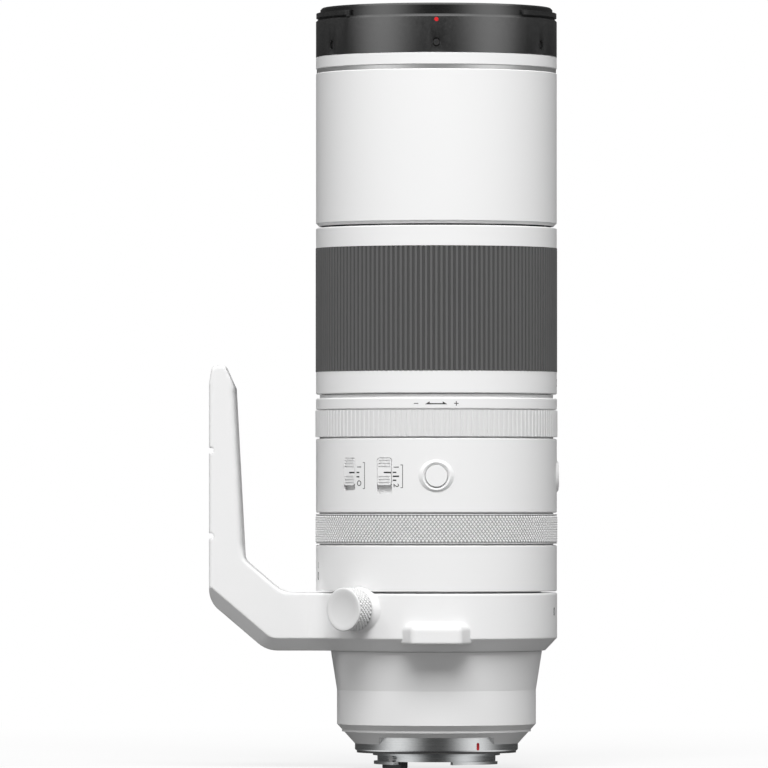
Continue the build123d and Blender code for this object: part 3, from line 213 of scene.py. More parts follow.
# Noises of the three shader groups, and the pointiness between which an edge begins and ends to wear
groupSettings = {
    "fineDetail": 2.0,
    "slowScale": 28.0,
    "slowDetail": 3.0,
    "noiseMean": 0.5,
    "lineDetail": 4.0,
    "wearDetail": 3.0,
    "wearFrom": 0.52,
    "wearTo": 0.6,
}


def makeGrain(settings):
    # fine grain of paint, rubber or cast plastic, with a slow drift of tone and shine
    group, given, result = newGroup("fineGrain", ("Color", "Scale", "Tone Drift", "Roughness", "Shine Drift"),
                                    ("Color", "Roughness", "Height"))
    place = objectPlace(group)
    fine = noiseNode(group, place, given["Scale"], settings["fineDetail"])
    slow = noiseNode(group, place, settings["slowScale"], settings["slowDetail"])
    centred = mathNode(group, "SUBTRACT", mathNode(group, "ADD", fine, slow), 2 * settings["noiseMean"])
    tinted = addNode(group, "ShaderNodeVectorMath", operation="SCALE")
    group.links.new(given["Color"], tinted.inputs[0])
    group.links.new(mathNode(group, "MULTIPLY_ADD", centred, given["Tone Drift"], 1.0), tinted.inputs["Scale"])
    shine = mathNode(group, "MULTIPLY_ADD", centred, given["Shine Drift"], given["Roughness"])
    group.links.new(tinted.outputs[0], result["Color"])
    group.links.new(shine, result["Roughness"])
    group.links.new(fine, result["Height"])
    return group


def makeTurnedLines(settings):
    # lathe lines: rings that follow the height, and on end faces the distance from the barrel's axis
    group, given, result = newGroup("turnedLines", ("Pitch", "Roughness", "Shine Drift"), ("Roughness", "Height"))
    place = objectPlace(group)
    shape = addNode(group, "ShaderNodeNewGeometry")
    upright = mathNode(group, "ABSOLUTE", splitVector(group, shape.outputs["True Normal"])["Z"])
    path = addNode(group, "ShaderNodeCombineXYZ")
    group.links.new(mathNode(group, "MULTIPLY", axisDistance(group, place), upright), path.inputs["X"])
    group.links.new(splitVector(group, place)["Z"], path.inputs["Y"])
    lines = noiseNode(group, path.outputs[0], given["Pitch"], settings["lineDetail"])
    centred = mathNode(group, "SUBTRACT", lines, settings["noiseMean"])
    shine = mathNode(group, "MULTIPLY_ADD", centred, given["Shine Drift"], given["Roughness"])
    group.links.new(shine, result["Roughness"])
    group.links.new(lines, result["Height"])
    return group


def makeEdgeWear(settings):
    # a mask of the sharp outer edges, broken up by a noise
    group, given, result = newGroup("edgeWear", ("Amount", "Break Up"), ("Mask",))
    shape = addNode(group, "ShaderNodeNewGeometry")
    noise = noiseNode(group, objectPlace(group), given["Break Up"], settings["wearDetail"])
    edge = mapRange(group, shape.outputs["Pointiness"], settings["wearFrom"], settings["wearTo"])
    broken = mathNode(group, "MULTIPLY", edge, noise)
    group.links.new(mathNode(group, "MULTIPLY", broken, given["Amount"]), result["Mask"])
    return group


grainGroup = makeGrain(groupSettings)
turnedGroup = makeTurnedLines(groupSettings)
wearGroup = makeEdgeWear(groupSettings)


def placeGroup(tree, group, **values):
    node = tree.nodes.new("ShaderNodeGroup")
    node.node_tree = group
    for name, value in values.items():
        node.inputs[name.replace("_", " ")].default_value = value
    return node.outputs


def startMaterial(name, constants):
    # constants holds the values that are set directly on the shader, by the names of its sockets
    material = bpy.data.materials.new(name)
    material.use_nodes = True
    shader = material.node_tree.nodes["Principled BSDF"]
    for label, value in constants.items():
        shader.inputs[label].default_value = value
    return material, material.node_tree, shader


def addBump(tree, shader, height, strength, distance):
    bump = addNode(tree, "ShaderNodeBump", Strength=strength, Distance=distance)
    tree.links.new(height, bump.inputs["Height"])
    tree.links.new(bump.outputs[0], shader.inputs["Normal"])


def grainFinish(name, values):
    # paint, ink, rubber and plastics
    material, tree, shader = startMaterial(name, values.get("constants", {}))
    grain = placeGroup(tree, grainGroup, Color=values["color"], Scale=values["scale"],
                       Tone_Drift=values["toneDrift"], Roughness=values["roughness"],
                       Shine_Drift=values["shineDrift"])
    tree.links.new(grain["Color"], shader.inputs["Base Color"])
    tree.links.new(grain["Roughness"], shader.inputs["Roughness"])
    addBump(tree, shader, grain["Height"], values["bump"], values["depth"])
    return material


metalSettings = {"wearAmount": 0.7, "wearBreakUp": 900.0, "lineDepth": 0.00002}


def metalFinish(name, values):
    # turned and plated metals: lathe lines, with edges worn to a second colour
    material, tree, shader = startMaterial(name, values["constants"])
    lines = placeGroup(tree, turnedGroup, Pitch=values["pitch"], Roughness=values["roughness"],
                       Shine_Drift=values["shineDrift"])
    wear = placeGroup(tree, wearGroup, Amount=metalSettings["wearAmount"], Break_Up=metalSettings["wearBreakUp"])
    color = mixColors(tree, wear["Mask"], values["color"], values["worn"])
    tree.links.new(color, shader.inputs["Base Color"])
    tree.links.new(lines["Roughness"], shader.inputs["Roughness"])
    addBump(tree, shader, lines["Height"], values["bump"], metalSettings["lineDepth"])
    return material


# roughness and the drifts are shares, depth is in metres, scale and pitch count per metre
grainTable = {
    "whitePaint": {"color": grey(238), "scale": 5200, "toneDrift": 0.015, "roughness": 0.42, "shineDrift": 0.05,
                   "bump": 0.12, "depth": 0.00004, "constants": {"Specular IOR Level": 0.3}},
    # painted shade: the rear barrel's white paint is set a little greyer for the shade that falls under the collar
    "rearShadedPaint": {"color": grey(232), "scale": 5200, "toneDrift": 0.015, "roughness": 0.42, "shineDrift": 0.05,
                  "bump": 0.12, "depth": 0.00004, "constants": {"Specular IOR Level": 0.3}},
    "greyRing": {"color": grey(222), "scale": 5200, "toneDrift": 0.015, "roughness": 0.45, "shineDrift": 0.05,
                 "bump": 0.12, "depth": 0.00004, "constants": {"Specular IOR Level": 0.25}},
    "gripRubber": {"color": grey(100), "scale": 3600, "toneDrift": 0.1, "roughness": 0.62, "shineDrift": 0.08,
                   "bump": 0.25, "depth": 0.00005, "constants": {"Specular IOR Level": 0.02}},
    "knurledWhite": {"color": grey(224), "scale": 5200, "toneDrift": 0.012, "roughness": 0.4, "shineDrift": 0.05,
                     "bump": 0.08, "depth": 0.00003, "constants": {"Specular IOR Level": 0.3}},
    "blackInk": {"color": grey(38), "scale": 6000, "toneDrift": 0.08, "roughness": 0.5, "shineDrift": 0.05,
                 "bump": 0.1, "depth": 0.00002},
    "greyInk": {"color": grey(84), "scale": 6000, "toneDrift": 0.05, "roughness": 0.5, "shineDrift": 0.05,
                "bump": 0.1, "depth": 0.00002},
    "redInk": {"color": tone(214, 32, 40), "scale": 6000, "toneDrift": 0.04, "roughness": 0.4, "shineDrift": 0.05,
               "bump": 0.1, "depth": 0.00002},
    "sealRubber": {"color": grey(78), "scale": 3000, "toneDrift": 0.1, "roughness": 0.6, "shineDrift": 0.08,
                   "bump": 0.3, "depth": 0.00005},
    "blackPlastic": {"color": grey(34), "scale": 4200, "toneDrift": 0.08, "roughness": 0.5, "shineDrift": 0.06,
                     "bump": 0.2, "depth": 0.00004},
    "whitePlastic": {"color": grey(240), "scale": 4800, "toneDrift": 0.012, "roughness": 0.38, "shineDrift": 0.04,
                     "bump": 0.1, "depth": 0.00003},
    "innerBlack": {"color": grey(30), "scale": 3600, "toneDrift": 0.08, "roughness": 0.7, "shineDrift": 0.06,
                   "bump": 0.2, "depth": 0.00004},
    "circuitBoard": {"color": tone(28, 84, 52), "scale": 2400, "toneDrift": 0.12, "roughness": 0.4,
                     "shineDrift": 0.06, "bump": 0.15, "depth": 0.00003},
}

metalTable = {
    "blackAnodised": {"color": grey(14), "worn": grey(80), "pitch": 5200, "roughness": 0.25, "shineDrift": 0.05,
                      "bump": 0.08, "constants": {"Metallic": 0.0, "IOR": 2.2}},
    "silverAccent": {"color": grey(205), "worn": grey(225), "pitch": 7000, "roughness": 0.3, "shineDrift": 0.1,
                     "bump": 0.15, "constants": {"Metallic": 0.7}},
    "mountChrome": {"color": tone(212, 215, 216), "worn": grey(235), "pitch": 7000, "roughness": 0.28,
                    "shineDrift": 0.1, "bump": 0.12, "constants": {"Metallic": 1.0}},
    "steel": {"color": grey(168), "worn": grey(220), "pitch": 7000, "roughness": 0.28, "shineDrift": 0.1,
              "bump": 0.12, "constants": {"Metallic": 1.0}},
    "contactGold": {"color": tone(226, 178, 88), "worn": tone(240, 205, 130), "pitch": 7000, "roughness": 0.2,
                    "shineDrift": 0.06, "bump": 0.08, "constants": {"Metallic": 1.0}},
    "innerMetal": {"color": grey(60), "worn": grey(120), "pitch": 6000, "roughness": 0.45, "shineDrift": 0.1,
                   "bump": 0.12, "constants": {"Metallic": 0.4}},
}

glassValues = {
    "Base Color": (1, 1, 1, 1),
    "Roughness": 0.02,
    "IOR": 1.52,
    "Transmission Weight": 1.0,
    "Thin Film Thickness": 460,
    "Thin Film IOR": 1.38,
}

finish = {name: grainFinish(name, values) for name, values in grainTable.items()}
finish.update({name: metalFinish(name, values) for name, values in metalTable.items()})
finish["opticalGlass"] = startMaterial("opticalGlass", glassValues)[0]


# Finishes made from the ones above, for single nodes
def copyFinish(name, source):
    finish[name] = finish[source].copy()
    finish[name].name = name
    return finish[name].node_tree


def darken(tree, share, shadeGrey):
    # painted shade: the finish goes over to a darker grey where share is 1
    slot = tree.nodes["Principled BSDF"].inputs["Base Color"]
    paint = slot.links[0].from_socket
    tree.links.new(mixColors(tree, share, paint, grey(shadeGrey)), slot)


# Painted shade in the grooves: depth is a groove's depth in millimetres, and above lightShare of it the finish
# stays as it is
grooveShadeTable = {
    "ringKnurl": {"source": "whitePaint", "node": "control_ring", "depth": 0.42, "lightShare": 0.1,
                  "shadeGrey": 165},
    "gripRibs": {"source": "gripRubber", "node": "zoom_grip", "depth": 0.55, "lightShare": 0.1, "shadeGrey": 84},
}

# painted shade in the valleys of the clamp knob's knurl
cavityShadeSettings = {"finish": "knurledWhite", "from": 0.5, "to": 0.42, "shadeGrey": 125}

# The foot's inner edge lies at x = slope * z + start, and its rounding fades out at both ends. In metres
castSettings = {
    "edgeRadius": 0.0012,
    "edgeSamples": 6,
    "slope": -0.0517,
    "start": -0.0766,
    "width": 0.0034,
    "drop": 0.002,
    "fadeLow": (0.08, 0.087),
    "fadeHigh": (0.157, 0.151),
}


def grooveFinish(name, values):
    # ribs and knurls round the barrel get painted shade, darker towards the bottom of a groove
    tree = copyFinish(name, values["source"])
    surface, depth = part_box(values["node"])[1].x, values["depth"] * mm
    reach = axisDistance(tree, objectPlace(tree))
    darken(tree, mapRange(tree, reach, surface - values["lightShare"] * depth, surface - depth), values["shadeGrey"])


def darkenCavities(settings):
    # painted shade: valleys of the clamp knob's knurl go darker, by the pointiness of the mesh
    tree = finish[settings["finish"]].node_tree
    shape = addNode(tree, "ShaderNodeNewGeometry")
    share = mapRange(tree, shape.outputs["Pointiness"], settings["from"], settings["to"])
    darken(tree, share, settings["shadeGrey"])


def unwornFinish(name, source):
    # for long plain tubes, where the edge mask would run down their whole height
    for node in copyFinish(name, source).nodes:
        if node.type == "GROUP" and node.node_tree == wearGroup:
            node.inputs["Amount"].default_value = 0.0


def castFinish(name, source, settings):
    # the cast collar's paint, with its edges and the foot's inner side rounded in the shading
    tree = copyFinish(name, source)
    split = splitVector(tree, objectPlace(tree))
    edge = mathNode(tree, "ADD", mathNode(tree, "MULTIPLY", split["Z"], settings["slope"]), settings["start"])
    near = mapRange(tree, mathNode(tree, "SUBTRACT", edge, split["X"]), settings["width"], 0.0)
    fall = mathNode(tree, "MULTIPLY", mathNode(tree, "MULTIPLY", near, near), -settings["drop"])
    for low, high in (settings["fadeLow"], settings["fadeHigh"]):
        fall = mathNode(tree, "MULTIPLY", fall, mapRange(tree, split["Z"], low, high))
    grain = next(node for node in tree.nodes if node.type == "BUMP")
    soft = addNode(tree, "ShaderNodeBevel", samples=settings["edgeSamples"], Radius=settings["edgeRadius"])
    turned = addNode(tree, "ShaderNodeBump", Strength=1.0, Distance=1.0)
    tree.links.new(fall, turned.inputs["Height"])
    tree.links.new(soft.outputs[0], turned.inputs["Normal"])
    tree.links.new(turned.outputs[0], grain.inputs["Normal"])


for grooveName, grooveValues in grooveShadeTable.items():
    grooveFinish(grooveName, grooveValues)
unwornFinish("tubeAnodised", "blackAnodised")
unwornFinish("tubeMetal", "innerMetal")
castFinish("castPaint", "whitePaint", castSettings)
darkenCavities(cavityShadeSettings)

slotFinish = {
    "white_paint": "whitePaint", "grey_ring": "greyRing", "black_anodised": "blackAnodised",
    "silver_accent": "silverAccent", "grip_rubber": "gripRubber", "seal_rubber": "sealRubber",
    "mount_chrome": "mountChrome", "steel": "steel", "contact_gold": "contactGold",
    "black_plastic": "blackPlastic", "white_plastic": "whitePlastic", "inner_black": "innerBlack",
    "inner_metal": "innerMetal", "board": "circuitBoard", "optical_glass": "opticalGlass",
}

# nodes whose finish isn't their slot's
nodeFinish = {
    "tripod_collar": "castPaint", "rear_barrel": "rearShadedPaint", "zoom_grip": "gripRibs",
    "extension_tube": "tubeAnodised", "guide_barrel": "tubeMetal", "cam_barrel": "tubeMetal",
}


def dressNodes():
    for name, piece in nodes.items():
        for place in piece.material_slots:
            label = place.material.name.split(".")[0]
            place.material = finish[nodeFinish.get(name, slotFinish[label])]


dressNodes()
print("CAD nodes dressed")


# Rows of points that run round an axis, and the band of faces between two of them
def addRow(points, row):
    first = len(points)
    points.extend(row)
    return list(range(first, first + len(row)))


def joinRows(faces, upper, lower):
    for k in range(len(upper)):
        after = (k + 1) % len(upper)
        faces.append((lower[k], lower[after], upper[after], upper[k]))


# Diamond knurl for the control ring and the clamp knob: low four-sided pyramids with flat tops.
# place(column, row, raised) gives a point of the skin, and both end rows come back for joining
def knurlSkin(columns, rows, place, topShare):
    points, faces, corners = [], [], {}

    def corner(i, j):
        key = (i % (2 * columns), j)
        if key not in corners:
            corners[key] = len(points)
            points.append(place(i, j, 0))
        return corners[key]

    for j in range(rows + 1):
        for i in range(j % 2, 2 * columns, 2):
            left, right = corner(i - 1, j), corner(i + 1, j)
            if j == 0:
                faces.append((left, corner(i, 0), right, corner(i, 1)))
                continue
            if j == rows:
                faces.append((corner(i, j - 1), right, corner(i, j), left))
                continue
            outer = (corner(i, j - 1), right, corner(i, j + 1), left)
            inner = addRow(points, [place(i, j - topShare, 1), place(i + topShare, j, 1),
                                    place(i, j + topShare, 1), place(i - topShare, j, 1)])
            faces.append(tuple(inner))
            for k in range(4):
                after = (k + 1) % 4
                faces.append((outer[k], outer[after], inner[after], inner[k]))
    lowRow = [corner(i, 0) for i in range(2 * columns)]
    highRow = [corner(i, rows) for i in range(2 * columns)]
    return points, faces, lowRow, highRow


controlSettings = {
    "diamondsAround": 198,
    "halfRows": 12,
    "topShare": 0.5,
    "valleyDepth": 0.42,
    "rimHeight": 0.3,
    "rimInset": 0.1,
    "rimChamfer": 0.12,
    "bore": 49.7,
}


def makeControlRing(settings):
    low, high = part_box("control_ring")
    radius, bottom, top = high.x / mm, low.z / mm, high.z / mm
    count, rows, rim = settings["diamondsAround"], settings["halfRows"], settings["rimHeight"]
    step = 180 / count
    rise = (top - bottom - 2 * rim) / rows

    def place(i, j, raised):
        depth = settings["valleyDepth"] * (1 - raised)
        return onBarrel(radius - depth, i * step, bottom + rim + j * rise)

    points, faces, lowRow, highRow = knurlSkin(count, rows, place, settings["topShare"])
    outer, chamfer, bore = radius - settings["rimInset"], settings["rimChamfer"], settings["bore"]
    around = [i * step for i in range(2 * count)]
    last = lowRow
    for reach, level in ((outer, bottom + rim), (outer, bottom + chamfer), (outer - chamfer, bottom),
                         (bore, bottom), (bore, top), (outer - chamfer, top), (outer, top - chamfer),
                         (outer, top - rim)):
        row = addRow(points, [onBarrel(reach, turn, level) for turn in around])
        joinRows(faces, last, row)
        last = row
    joinRows(faces, last, highRow)
    ring = addMesh("controlRingKnurled", points, faces, finish["ringKnurl"])
    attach(ring, "control_collar")
    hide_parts("control_ring")


makeControlRing(controlSettings)
print("control ring knurled")


# Distances along the knob's axis are measured from the barrel's axis
knobSettings = {
    "azimuth": -39.0,
    "radius": 9.1,
    "diamondsAround": 31,
    "halfRows": 8,
    "topShare": 0.42,
    "valleyDepth": 0.6,
    "foot": 53.1,
    "knurlFrom": 53.7,
    "knurlTo": 61.3,
    "face": 62.1,
    "edgeRound": 0.45,
    "roundSteps": 3,
    "rimWidth": 0.7,
    "dishDepth": 0.75,
    "dishRings": 8,
    "stemRadius": 2.5,
    "stemEnd": 46.6,
}


def makeClampKnob(settings):
    low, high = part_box("clamp_knob")
    level = (low.z + high.z) / 2
    turn = math.radians(settings["azimuth"])
    outward = Vector((math.sin(turn), -math.cos(turn), 0))
    beside = Vector((-math.cos(turn), -math.sin(turn), 0))
    count, rows, radius = settings["diamondsAround"], settings["halfRows"], settings["radius"]
    foot, face, edge = settings["foot"], settings["face"], settings["edgeRound"]
    stem, stemEnd = settings["stemRadius"], settings["stemEnd"]
    step = math.pi / count
    rise = (settings["knurlTo"] - settings["knurlFrom"]) / rows

    def at(reach, angle, out):
        flat = beside * math.sin(angle) * reach + Vector((0, 0, math.cos(angle) * reach))
        return (flat + outward * out) * mm + Vector((0, 0, level))

    def place(i, j, raised):
        depth = settings["valleyDepth"] * (1 - raised)
        return at(radius - depth, i * step, settings["knurlFrom"] + j * rise)

    points, faces, lowRow, highRow = knurlSkin(count, rows, place, settings["topShare"])
    knurled = len(faces)

    def walk(row, profile, inwards):
        # bands of faces along a profile, inwards or outwards along the knob's axis
        for reach, out in profile:
            after = addRow(points, [at(reach, i * step, out) for i in range(2 * count)])
            upper, lower = (row, after) if inwards else (after, row)
            joinRows(faces, upper, lower)
            row = after
        return row

    def addFan(row, out, inwards):
        # triangles that close the middle of an end
        middle = addRow(points, [at(0, 0, out)])[0]
        for k in range(len(row)):
            after = (k + 1) % len(row)
            faces.append((row[after], row[k], middle) if inwards else (row[k], row[after], middle))

    tail = walk(lowRow, [(radius, settings["knurlFrom"]), (radius, foot + edge), (radius - edge, foot),
                         (stem, foot), (stem, stemEnd)], True)
    crown = [(radius, settings["knurlTo"]), (radius, face - edge)]
    for k in range(settings["roundSteps"]):
        bend = math.pi / 2 * (k + 1) / settings["roundSteps"]
        crown.append((radius - edge * (1 - math.cos(bend)), face - edge * (1 - math.sin(bend))))
    dish = radius - edge - settings["rimWidth"]
    for k in range(settings["dishRings"]):
        share = 1 - k / settings["dishRings"]
        crown.append((dish * share, face - settings["dishDepth"] * (1 - share ** 2)))
    head = walk(highRow, crown, False)
    addFan(tail, stemEnd, True)
    addFan(head, face - settings["dishDepth"], False)
    knob = addMesh("clampKnobKnurled", points, faces, finish["knurledWhite"])
    for number, side in enumerate(knob.data.polygons):
        side.use_smooth = number >= knurled
    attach(knob, "clamp_screw")
    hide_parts("clamp_knob")


makeClampKnob(knobSettings)
print("clamp knob knurled")


# Threads: a ridge with a flat crest that stands inward from a bore and runs round it as a helix.
# The shares are of the pitch. The ridge rises from the bore over the first and last riseTurns
threadShape = {
    "rootShare": 0.44,
    "crestShare": 0.1,
    "embed": 0.08,
    "riseTurns": 0.125,
    "leastRise": 0.05,
}

threads = {
    "filterThread": {"axisPoint": (0, 0, 306.3), "along": (0, 0, 1), "across": (1, 0, 0), "radius": 47.5,
                     "depth": 0.45, "pitch": 1.0, "turns": 7, "steps": 96, "slot": "black_anodised",
                     "finish": "blackAnodised", "body": "front_barrel"},
    "tripodThread": {"axisPoint": (-95.1, 0, 108.7), "along": (1, 0, 0), "across": (0, 1, 0), "radius": 3.175,
                     "depth": 0.45, "pitch": 1.27, "turns": 4.5, "steps": 32, "slot": "steel",
                     "finish": "steel", "body": "tripod_mount"},
}


def makeThread(name, values, shape):
    along, across = Vector(values["along"]), Vector(values["across"])
    third = along.cross(across)
    count = int(values["turns"] * values["steps"])
    root, crest, sunk = shape["rootShare"], shape["crestShare"], -shape["embed"]
    points, faces = [], []
    for i in range(count + 1):
        turns = i / values["steps"]
        turn = 2 * math.pi * turns
        out = across * math.cos(turn) + third * math.sin(turn)
        fromEnd = min(i, count - i) / values["steps"]
        tall = values["depth"] * min(1.0, fromEnd / shape["riseTurns"] + shape["leastRise"])
        for share, depth in ((-root, sunk), (-crest, tall), (crest, tall), (root, sunk)):
            reach = out * (values["radius"] - depth)
            points.append((Vector(values["axisPoint"]) + along * (turns + share) * values["pitch"] + reach) * mm)
    for i in range(count):
        for k in range(4):
            after = (k + 1) % 4
            faces.append((4 * i + k, 4 * i + after, 4 * i + 4 + after, 4 * i + 4 + k))
    faces.append((3, 2, 1, 0))
    faces.append(tuple(4 * count + k for k in range(4)))
    thread = addMesh(name, points, faces, finish[values["finish"]])
    solid = bmesh.new()
    solid.from_mesh(thread.data)
    bmesh.ops.recalc_face_normals(solid, faces=list(solid.faces))
    solid.to_mesh(thread.data)
    solid.free()
    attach(thread, values["body"])


for threadName, threadValues in threads.items():
    makeThread(threadName, threadValues, threadShape)
print("threads cut")


# Paint marks: flat shapes in millimetres, wrapped on the barrel with a paint film's thickness
markSettings = {
    "film": 0.035,
    "weld": 0.002,
    "capShare": 0.7,
    "boldness": 0.035,
    "bracketLine": 0.28,
    "bracketArm": 0.9,
}

# what a mark has unless its own values say something else
markDefaults = {"radius": 51.0, "sink": 0.06, "slot": "black_plastic", "body": "main_barrel"}


def wrapMark(name, given):
    values = {**markDefaults, **given}
    flat, faces = values["shape"]
    radius = values["radius"]
    outer = radius + markSettings["film"]
    inner = (radius - values["sink"]) / outer
    solid = bmesh.new()
    corners = [solid.verts.new(onBarrel(outer, values["azimuth"] + math.degrees(u / radius), values["level"] + v))
               for u, v in flat]
    for face in faces:
        solid.faces.new([corners[k] for k in face])
    bmesh.ops.remove_doubles(solid, verts=list(solid.verts), dist=markSettings["weld"] * mm)
    grown = bmesh.ops.extrude_face_region(solid, geom=list(solid.faces))
    for vert in grown["geom"]:
        if isinstance(vert, bmesh.types.BMVert):
            vert.co.x *= inner
            vert.co.y *= inner
    bmesh.ops.recalc_face_normals(solid, faces=list(solid.faces))
    mesh = bpy.data.meshes.new(name)
    solid.to_mesh(mesh)
    solid.free()
    mark = linkMesh(name, mesh, finish[values["ink"]])
    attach(mark, values["body"])


def bar(width, height, across=0.0, up=0.0, parts=1):
    # a rectangle round (across, up), cut into parts along the barrel's turn
    flat = []
    for k in range(parts + 1):
        u = across + width * (k / parts - 0.5)
        flat += [(u, up - height / 2), (u, up + height / 2)]
    return flat, [(2 * k, 2 * k + 2, 2 * k + 3, 2 * k + 1) for k in range(parts)]


def joinShapes(*shapes):
    flat, faces = [], []
    for points, sides in shapes:
        first = len(flat)
        flat += points
        faces += [tuple(first + k for k in side) for side in sides]
    return flat, faces


def bracket(height):
    # an upright line with a short arm towards the switch at both ends
    line, arm = markSettings["bracketLine"], markSettings["bracketArm"]
    ends = [bar(arm, line, -arm / 2, side * (height - line) / 2) for side in (1, -1)]
    return joinShapes(bar(line, height), *ends)


def plusSign(width, height, line):
    arms = [bar((width - line) / 2, line, side * (width + line) / 4) for side in (-1, 1)]
    return joinShapes(*arms, bar(line, height))


def figures(words, height, turned=False):
    # digits and signs of the built-in font as flat faces; turned ones read downward
    curve = bpy.data.curves.new("figures", "FONT")
    curve.body = words
    curve.align_x, curve.align_y = "CENTER", "CENTER"
    curve.size = height / markSettings["capShare"]
    curve.offset = markSettings["boldness"]
    carrier = bpy.data.objects.new("figures", curve)
    mesh = bpy.data.meshes.new_from_object(carrier)
    flat = [(v.co.y, -v.co.x) if turned else (v.co.x, v.co.y) for v in mesh.vertices]
    faces = [tuple(face.vertices) for face in mesh.polygons]
    bpy.data.objects.remove(carrier)
    bpy.data.curves.remove(curve)
    bpy.data.meshes.remove(mesh)
    return flat, faces


def disk(radius, corners=24):
    turns = [2 * math.pi * k / corners for k in range(corners)]
    return [(radius * math.cos(a), radius * math.sin(a)) for a in turns], [tuple(range(corners))]


def halfArrow(length, height, tipLength, tipHeight, parts=6):
    # a line with a tip at both ends, drawn on its upper side only
    half, low, high = length / 2, -height / 2, height / 2
    shapes = [bar(length - tipLength, height, parts=parts)]
    for side in (-1, 1):
        root = side * (half - tipLength)
        tip = [(side * half, low), (root, low), (root, high), (root, high + tipHeight)]
        shapes.append((tip, [(0, 1, 2, 3)]))
    return joinShapes(*shapes)


# Places were measured on the photograph
markTable = {
    "focusIndexLine": {"shape": bar(3.35, 0.6), "radius": 51.2, "azimuth": -23.6, "level": 117.35,
                       "ink": "blackInk", "body": "focus_slider"},
    "focusTickUpper": {"shape": bar(1.55, 0.55), "azimuth": -20.1, "level": 117.4, "ink": "blackInk"},
    "focusTickMiddle": {"shape": bar(2.75, 0.6), "azimuth": -19.42, "level": 115.75, "ink": "blackInk"},
    "focusTickLower": {"shape": bar(1.5, 0.55), "azimuth": -20.1, "level": 114.1, "ink": "blackInk"},
    "focusFigureOne": {"shape": figures("1", 2.3, True), "azimuth": -19.4, "level": 119.6, "ink": "greyInk"},
    "focusFigureTwo": {"shape": figures("2", 2.3, True), "azimuth": -19.4, "level": 111.9, "ink": "greyInk"},
    "focusBracket": {"shape": bracket(9.8), "azimuth": -16.1, "level": 115.75, "ink": "greyInk"},
    "stabiliserIndexLine": {"shape": bar(3.0, 0.6), "radius": 51.2, "azimuth": -43.9, "level": 117.35,
                            "ink": "blackInk", "body": "stabiliser_slider"},
    "stabiliserTickUpper": {"shape": bar(1.5, 0.55), "azimuth": -40.2, "level": 117.4, "ink": "blackInk"},
    "stabiliserTickLower": {"shape": bar(1.5, 0.55), "azimuth": -40.2, "level": 115.6, "ink": "blackInk"},
    "stabiliserFigureOn": {"shape": figures("I", 2.2, True), "azimuth": -39.6, "level": 119.7, "ink": "greyInk"},
    "stabiliserFigureOff": {"shape": figures("O", 2.2, True), "azimuth": -39.6, "level": 112.9, "ink": "greyInk"},
    "stabiliserBracket": {"shape": bracket(11.2), "azimuth": -36.2, "level": 116.1, "ink": "greyInk"},
    "torqueArrow": {"shape": halfArrow(9.3, 0.45, 1.9, 0.75), "azimuth": -0.1, "level": 146.1, "ink": "blackInk"},
    "torqueMinus": {"shape": bar(1.9, 0.34), "azimuth": -9.6, "level": 146.25, "ink": "greyInk"},
    "torquePlus": {"shape": plusSign(1.94, 1.9, 0.34), "azimuth": 9.4, "level": 146.25, "ink": "greyInk"},
    "collarTick": {"shape": bar(0.5, 2.6), "azimuth": -78.0, "level": 78.3, "ink": "greyInk"},
    "collarTickFigure": {"shape": figures("0", 3.4), "azimuth": -78.0, "level": 73.6, "ink": "greyInk"},
    "collarFigure": {"shape": figures("0", 3.4), "radius": 51.1, "azimuth": 76.5, "level": 58.6,
                     "ink": "greyInk", "body": "tripod_mount"},
    "zoomIndexLine": {"shape": bar(0.5, 3.2), "azimuth": 90.0, "level": 146.9, "ink": "blackInk"},
    "hoodDot": {"shape": disk(0.9), "radius": 51.04, "azimuth": 0.0, "level": 307.05, "ink": "redInk",
                "body": "front_barrel"},
    # paint that fills the recess of the mount's index
    "mountIndexPaint": {"shape": bar(1.28, 3.1, parts=4), "radius": 34.42, "azimuth": 30.4, "level": 2.2,
                        "sink": 0.36, "ink": "redInk", "slot": "mount_chrome"},
}

# Focal lengths round the zoom ring's rear rim, spaced evenly by their logarithm
zoomScale = {
    "level": 155.2,
    "height": 3.2,
    "first": 90.0,
    "turn": 130.0,
    "lengths": (200, 300, 400, 500, 600, 800),
    "tickLevel": 151.9,
    "tickWidth": 0.4,
    "tickHeight": 1.1,
}


def makeMarks(marks, scale):
    for name, values in marks.items():
        wrapMark(name, values)
    lengths = scale["lengths"]
    for length in lengths:
        share = math.log(length / lengths[0]) / math.log(lengths[-1] / lengths[0])
        common = {"azimuth": scale["first"] + scale["turn"] * share, "ink": "blackInk", "body": "zoom_ring"}
        figure, tick = figures(str(length), scale["height"]), bar(scale["tickWidth"], scale["tickHeight"])
        wrapMark("zoomFigure_%d" % length, {"shape": figure, "level": scale["level"], **common})
        wrapMark("zoomTick_%d" % length, {"shape": tick, "level": scale["tickLevel"], **common})


makeMarks(markTable, zoomScale)
print("marks made")


# Floor, backdrop light, mirror tent and lamps
stageSettings = {
    "floorSize": 12.0,
    "floorTone": 0.17,
    "shadowTone": 225,
    "shadowShare": 0.22,
    "shadowFrom": 0.25,
    "shadowTo": 0.8,
    "fillHorizon": 0.53,
    "fillZenith": 0.1,
    "tentDistance": 2.6,
    "tentHeight": 3.4,
    "tentSteps": 72,
    "tentLift": 0.0002,
    "tentFoot": 0.01,
    "tentTone": 72,
    "stripTone": 255,
    "stripAzimuth": 53.0,
    "stripHalfWidth": 44.0,
}


def raySees(tree):
    # 1 for rays that come from the camera, a mirror or a glass
    path = addNode(tree, "ShaderNodeLightPath").outputs
    direct = mathNode(tree, "MAXIMUM", path["Is Camera Ray"], path["Is Glossy Ray"])
    return mathNode(tree, "MAXIMUM", direct, path["Is Transmission Ray"])


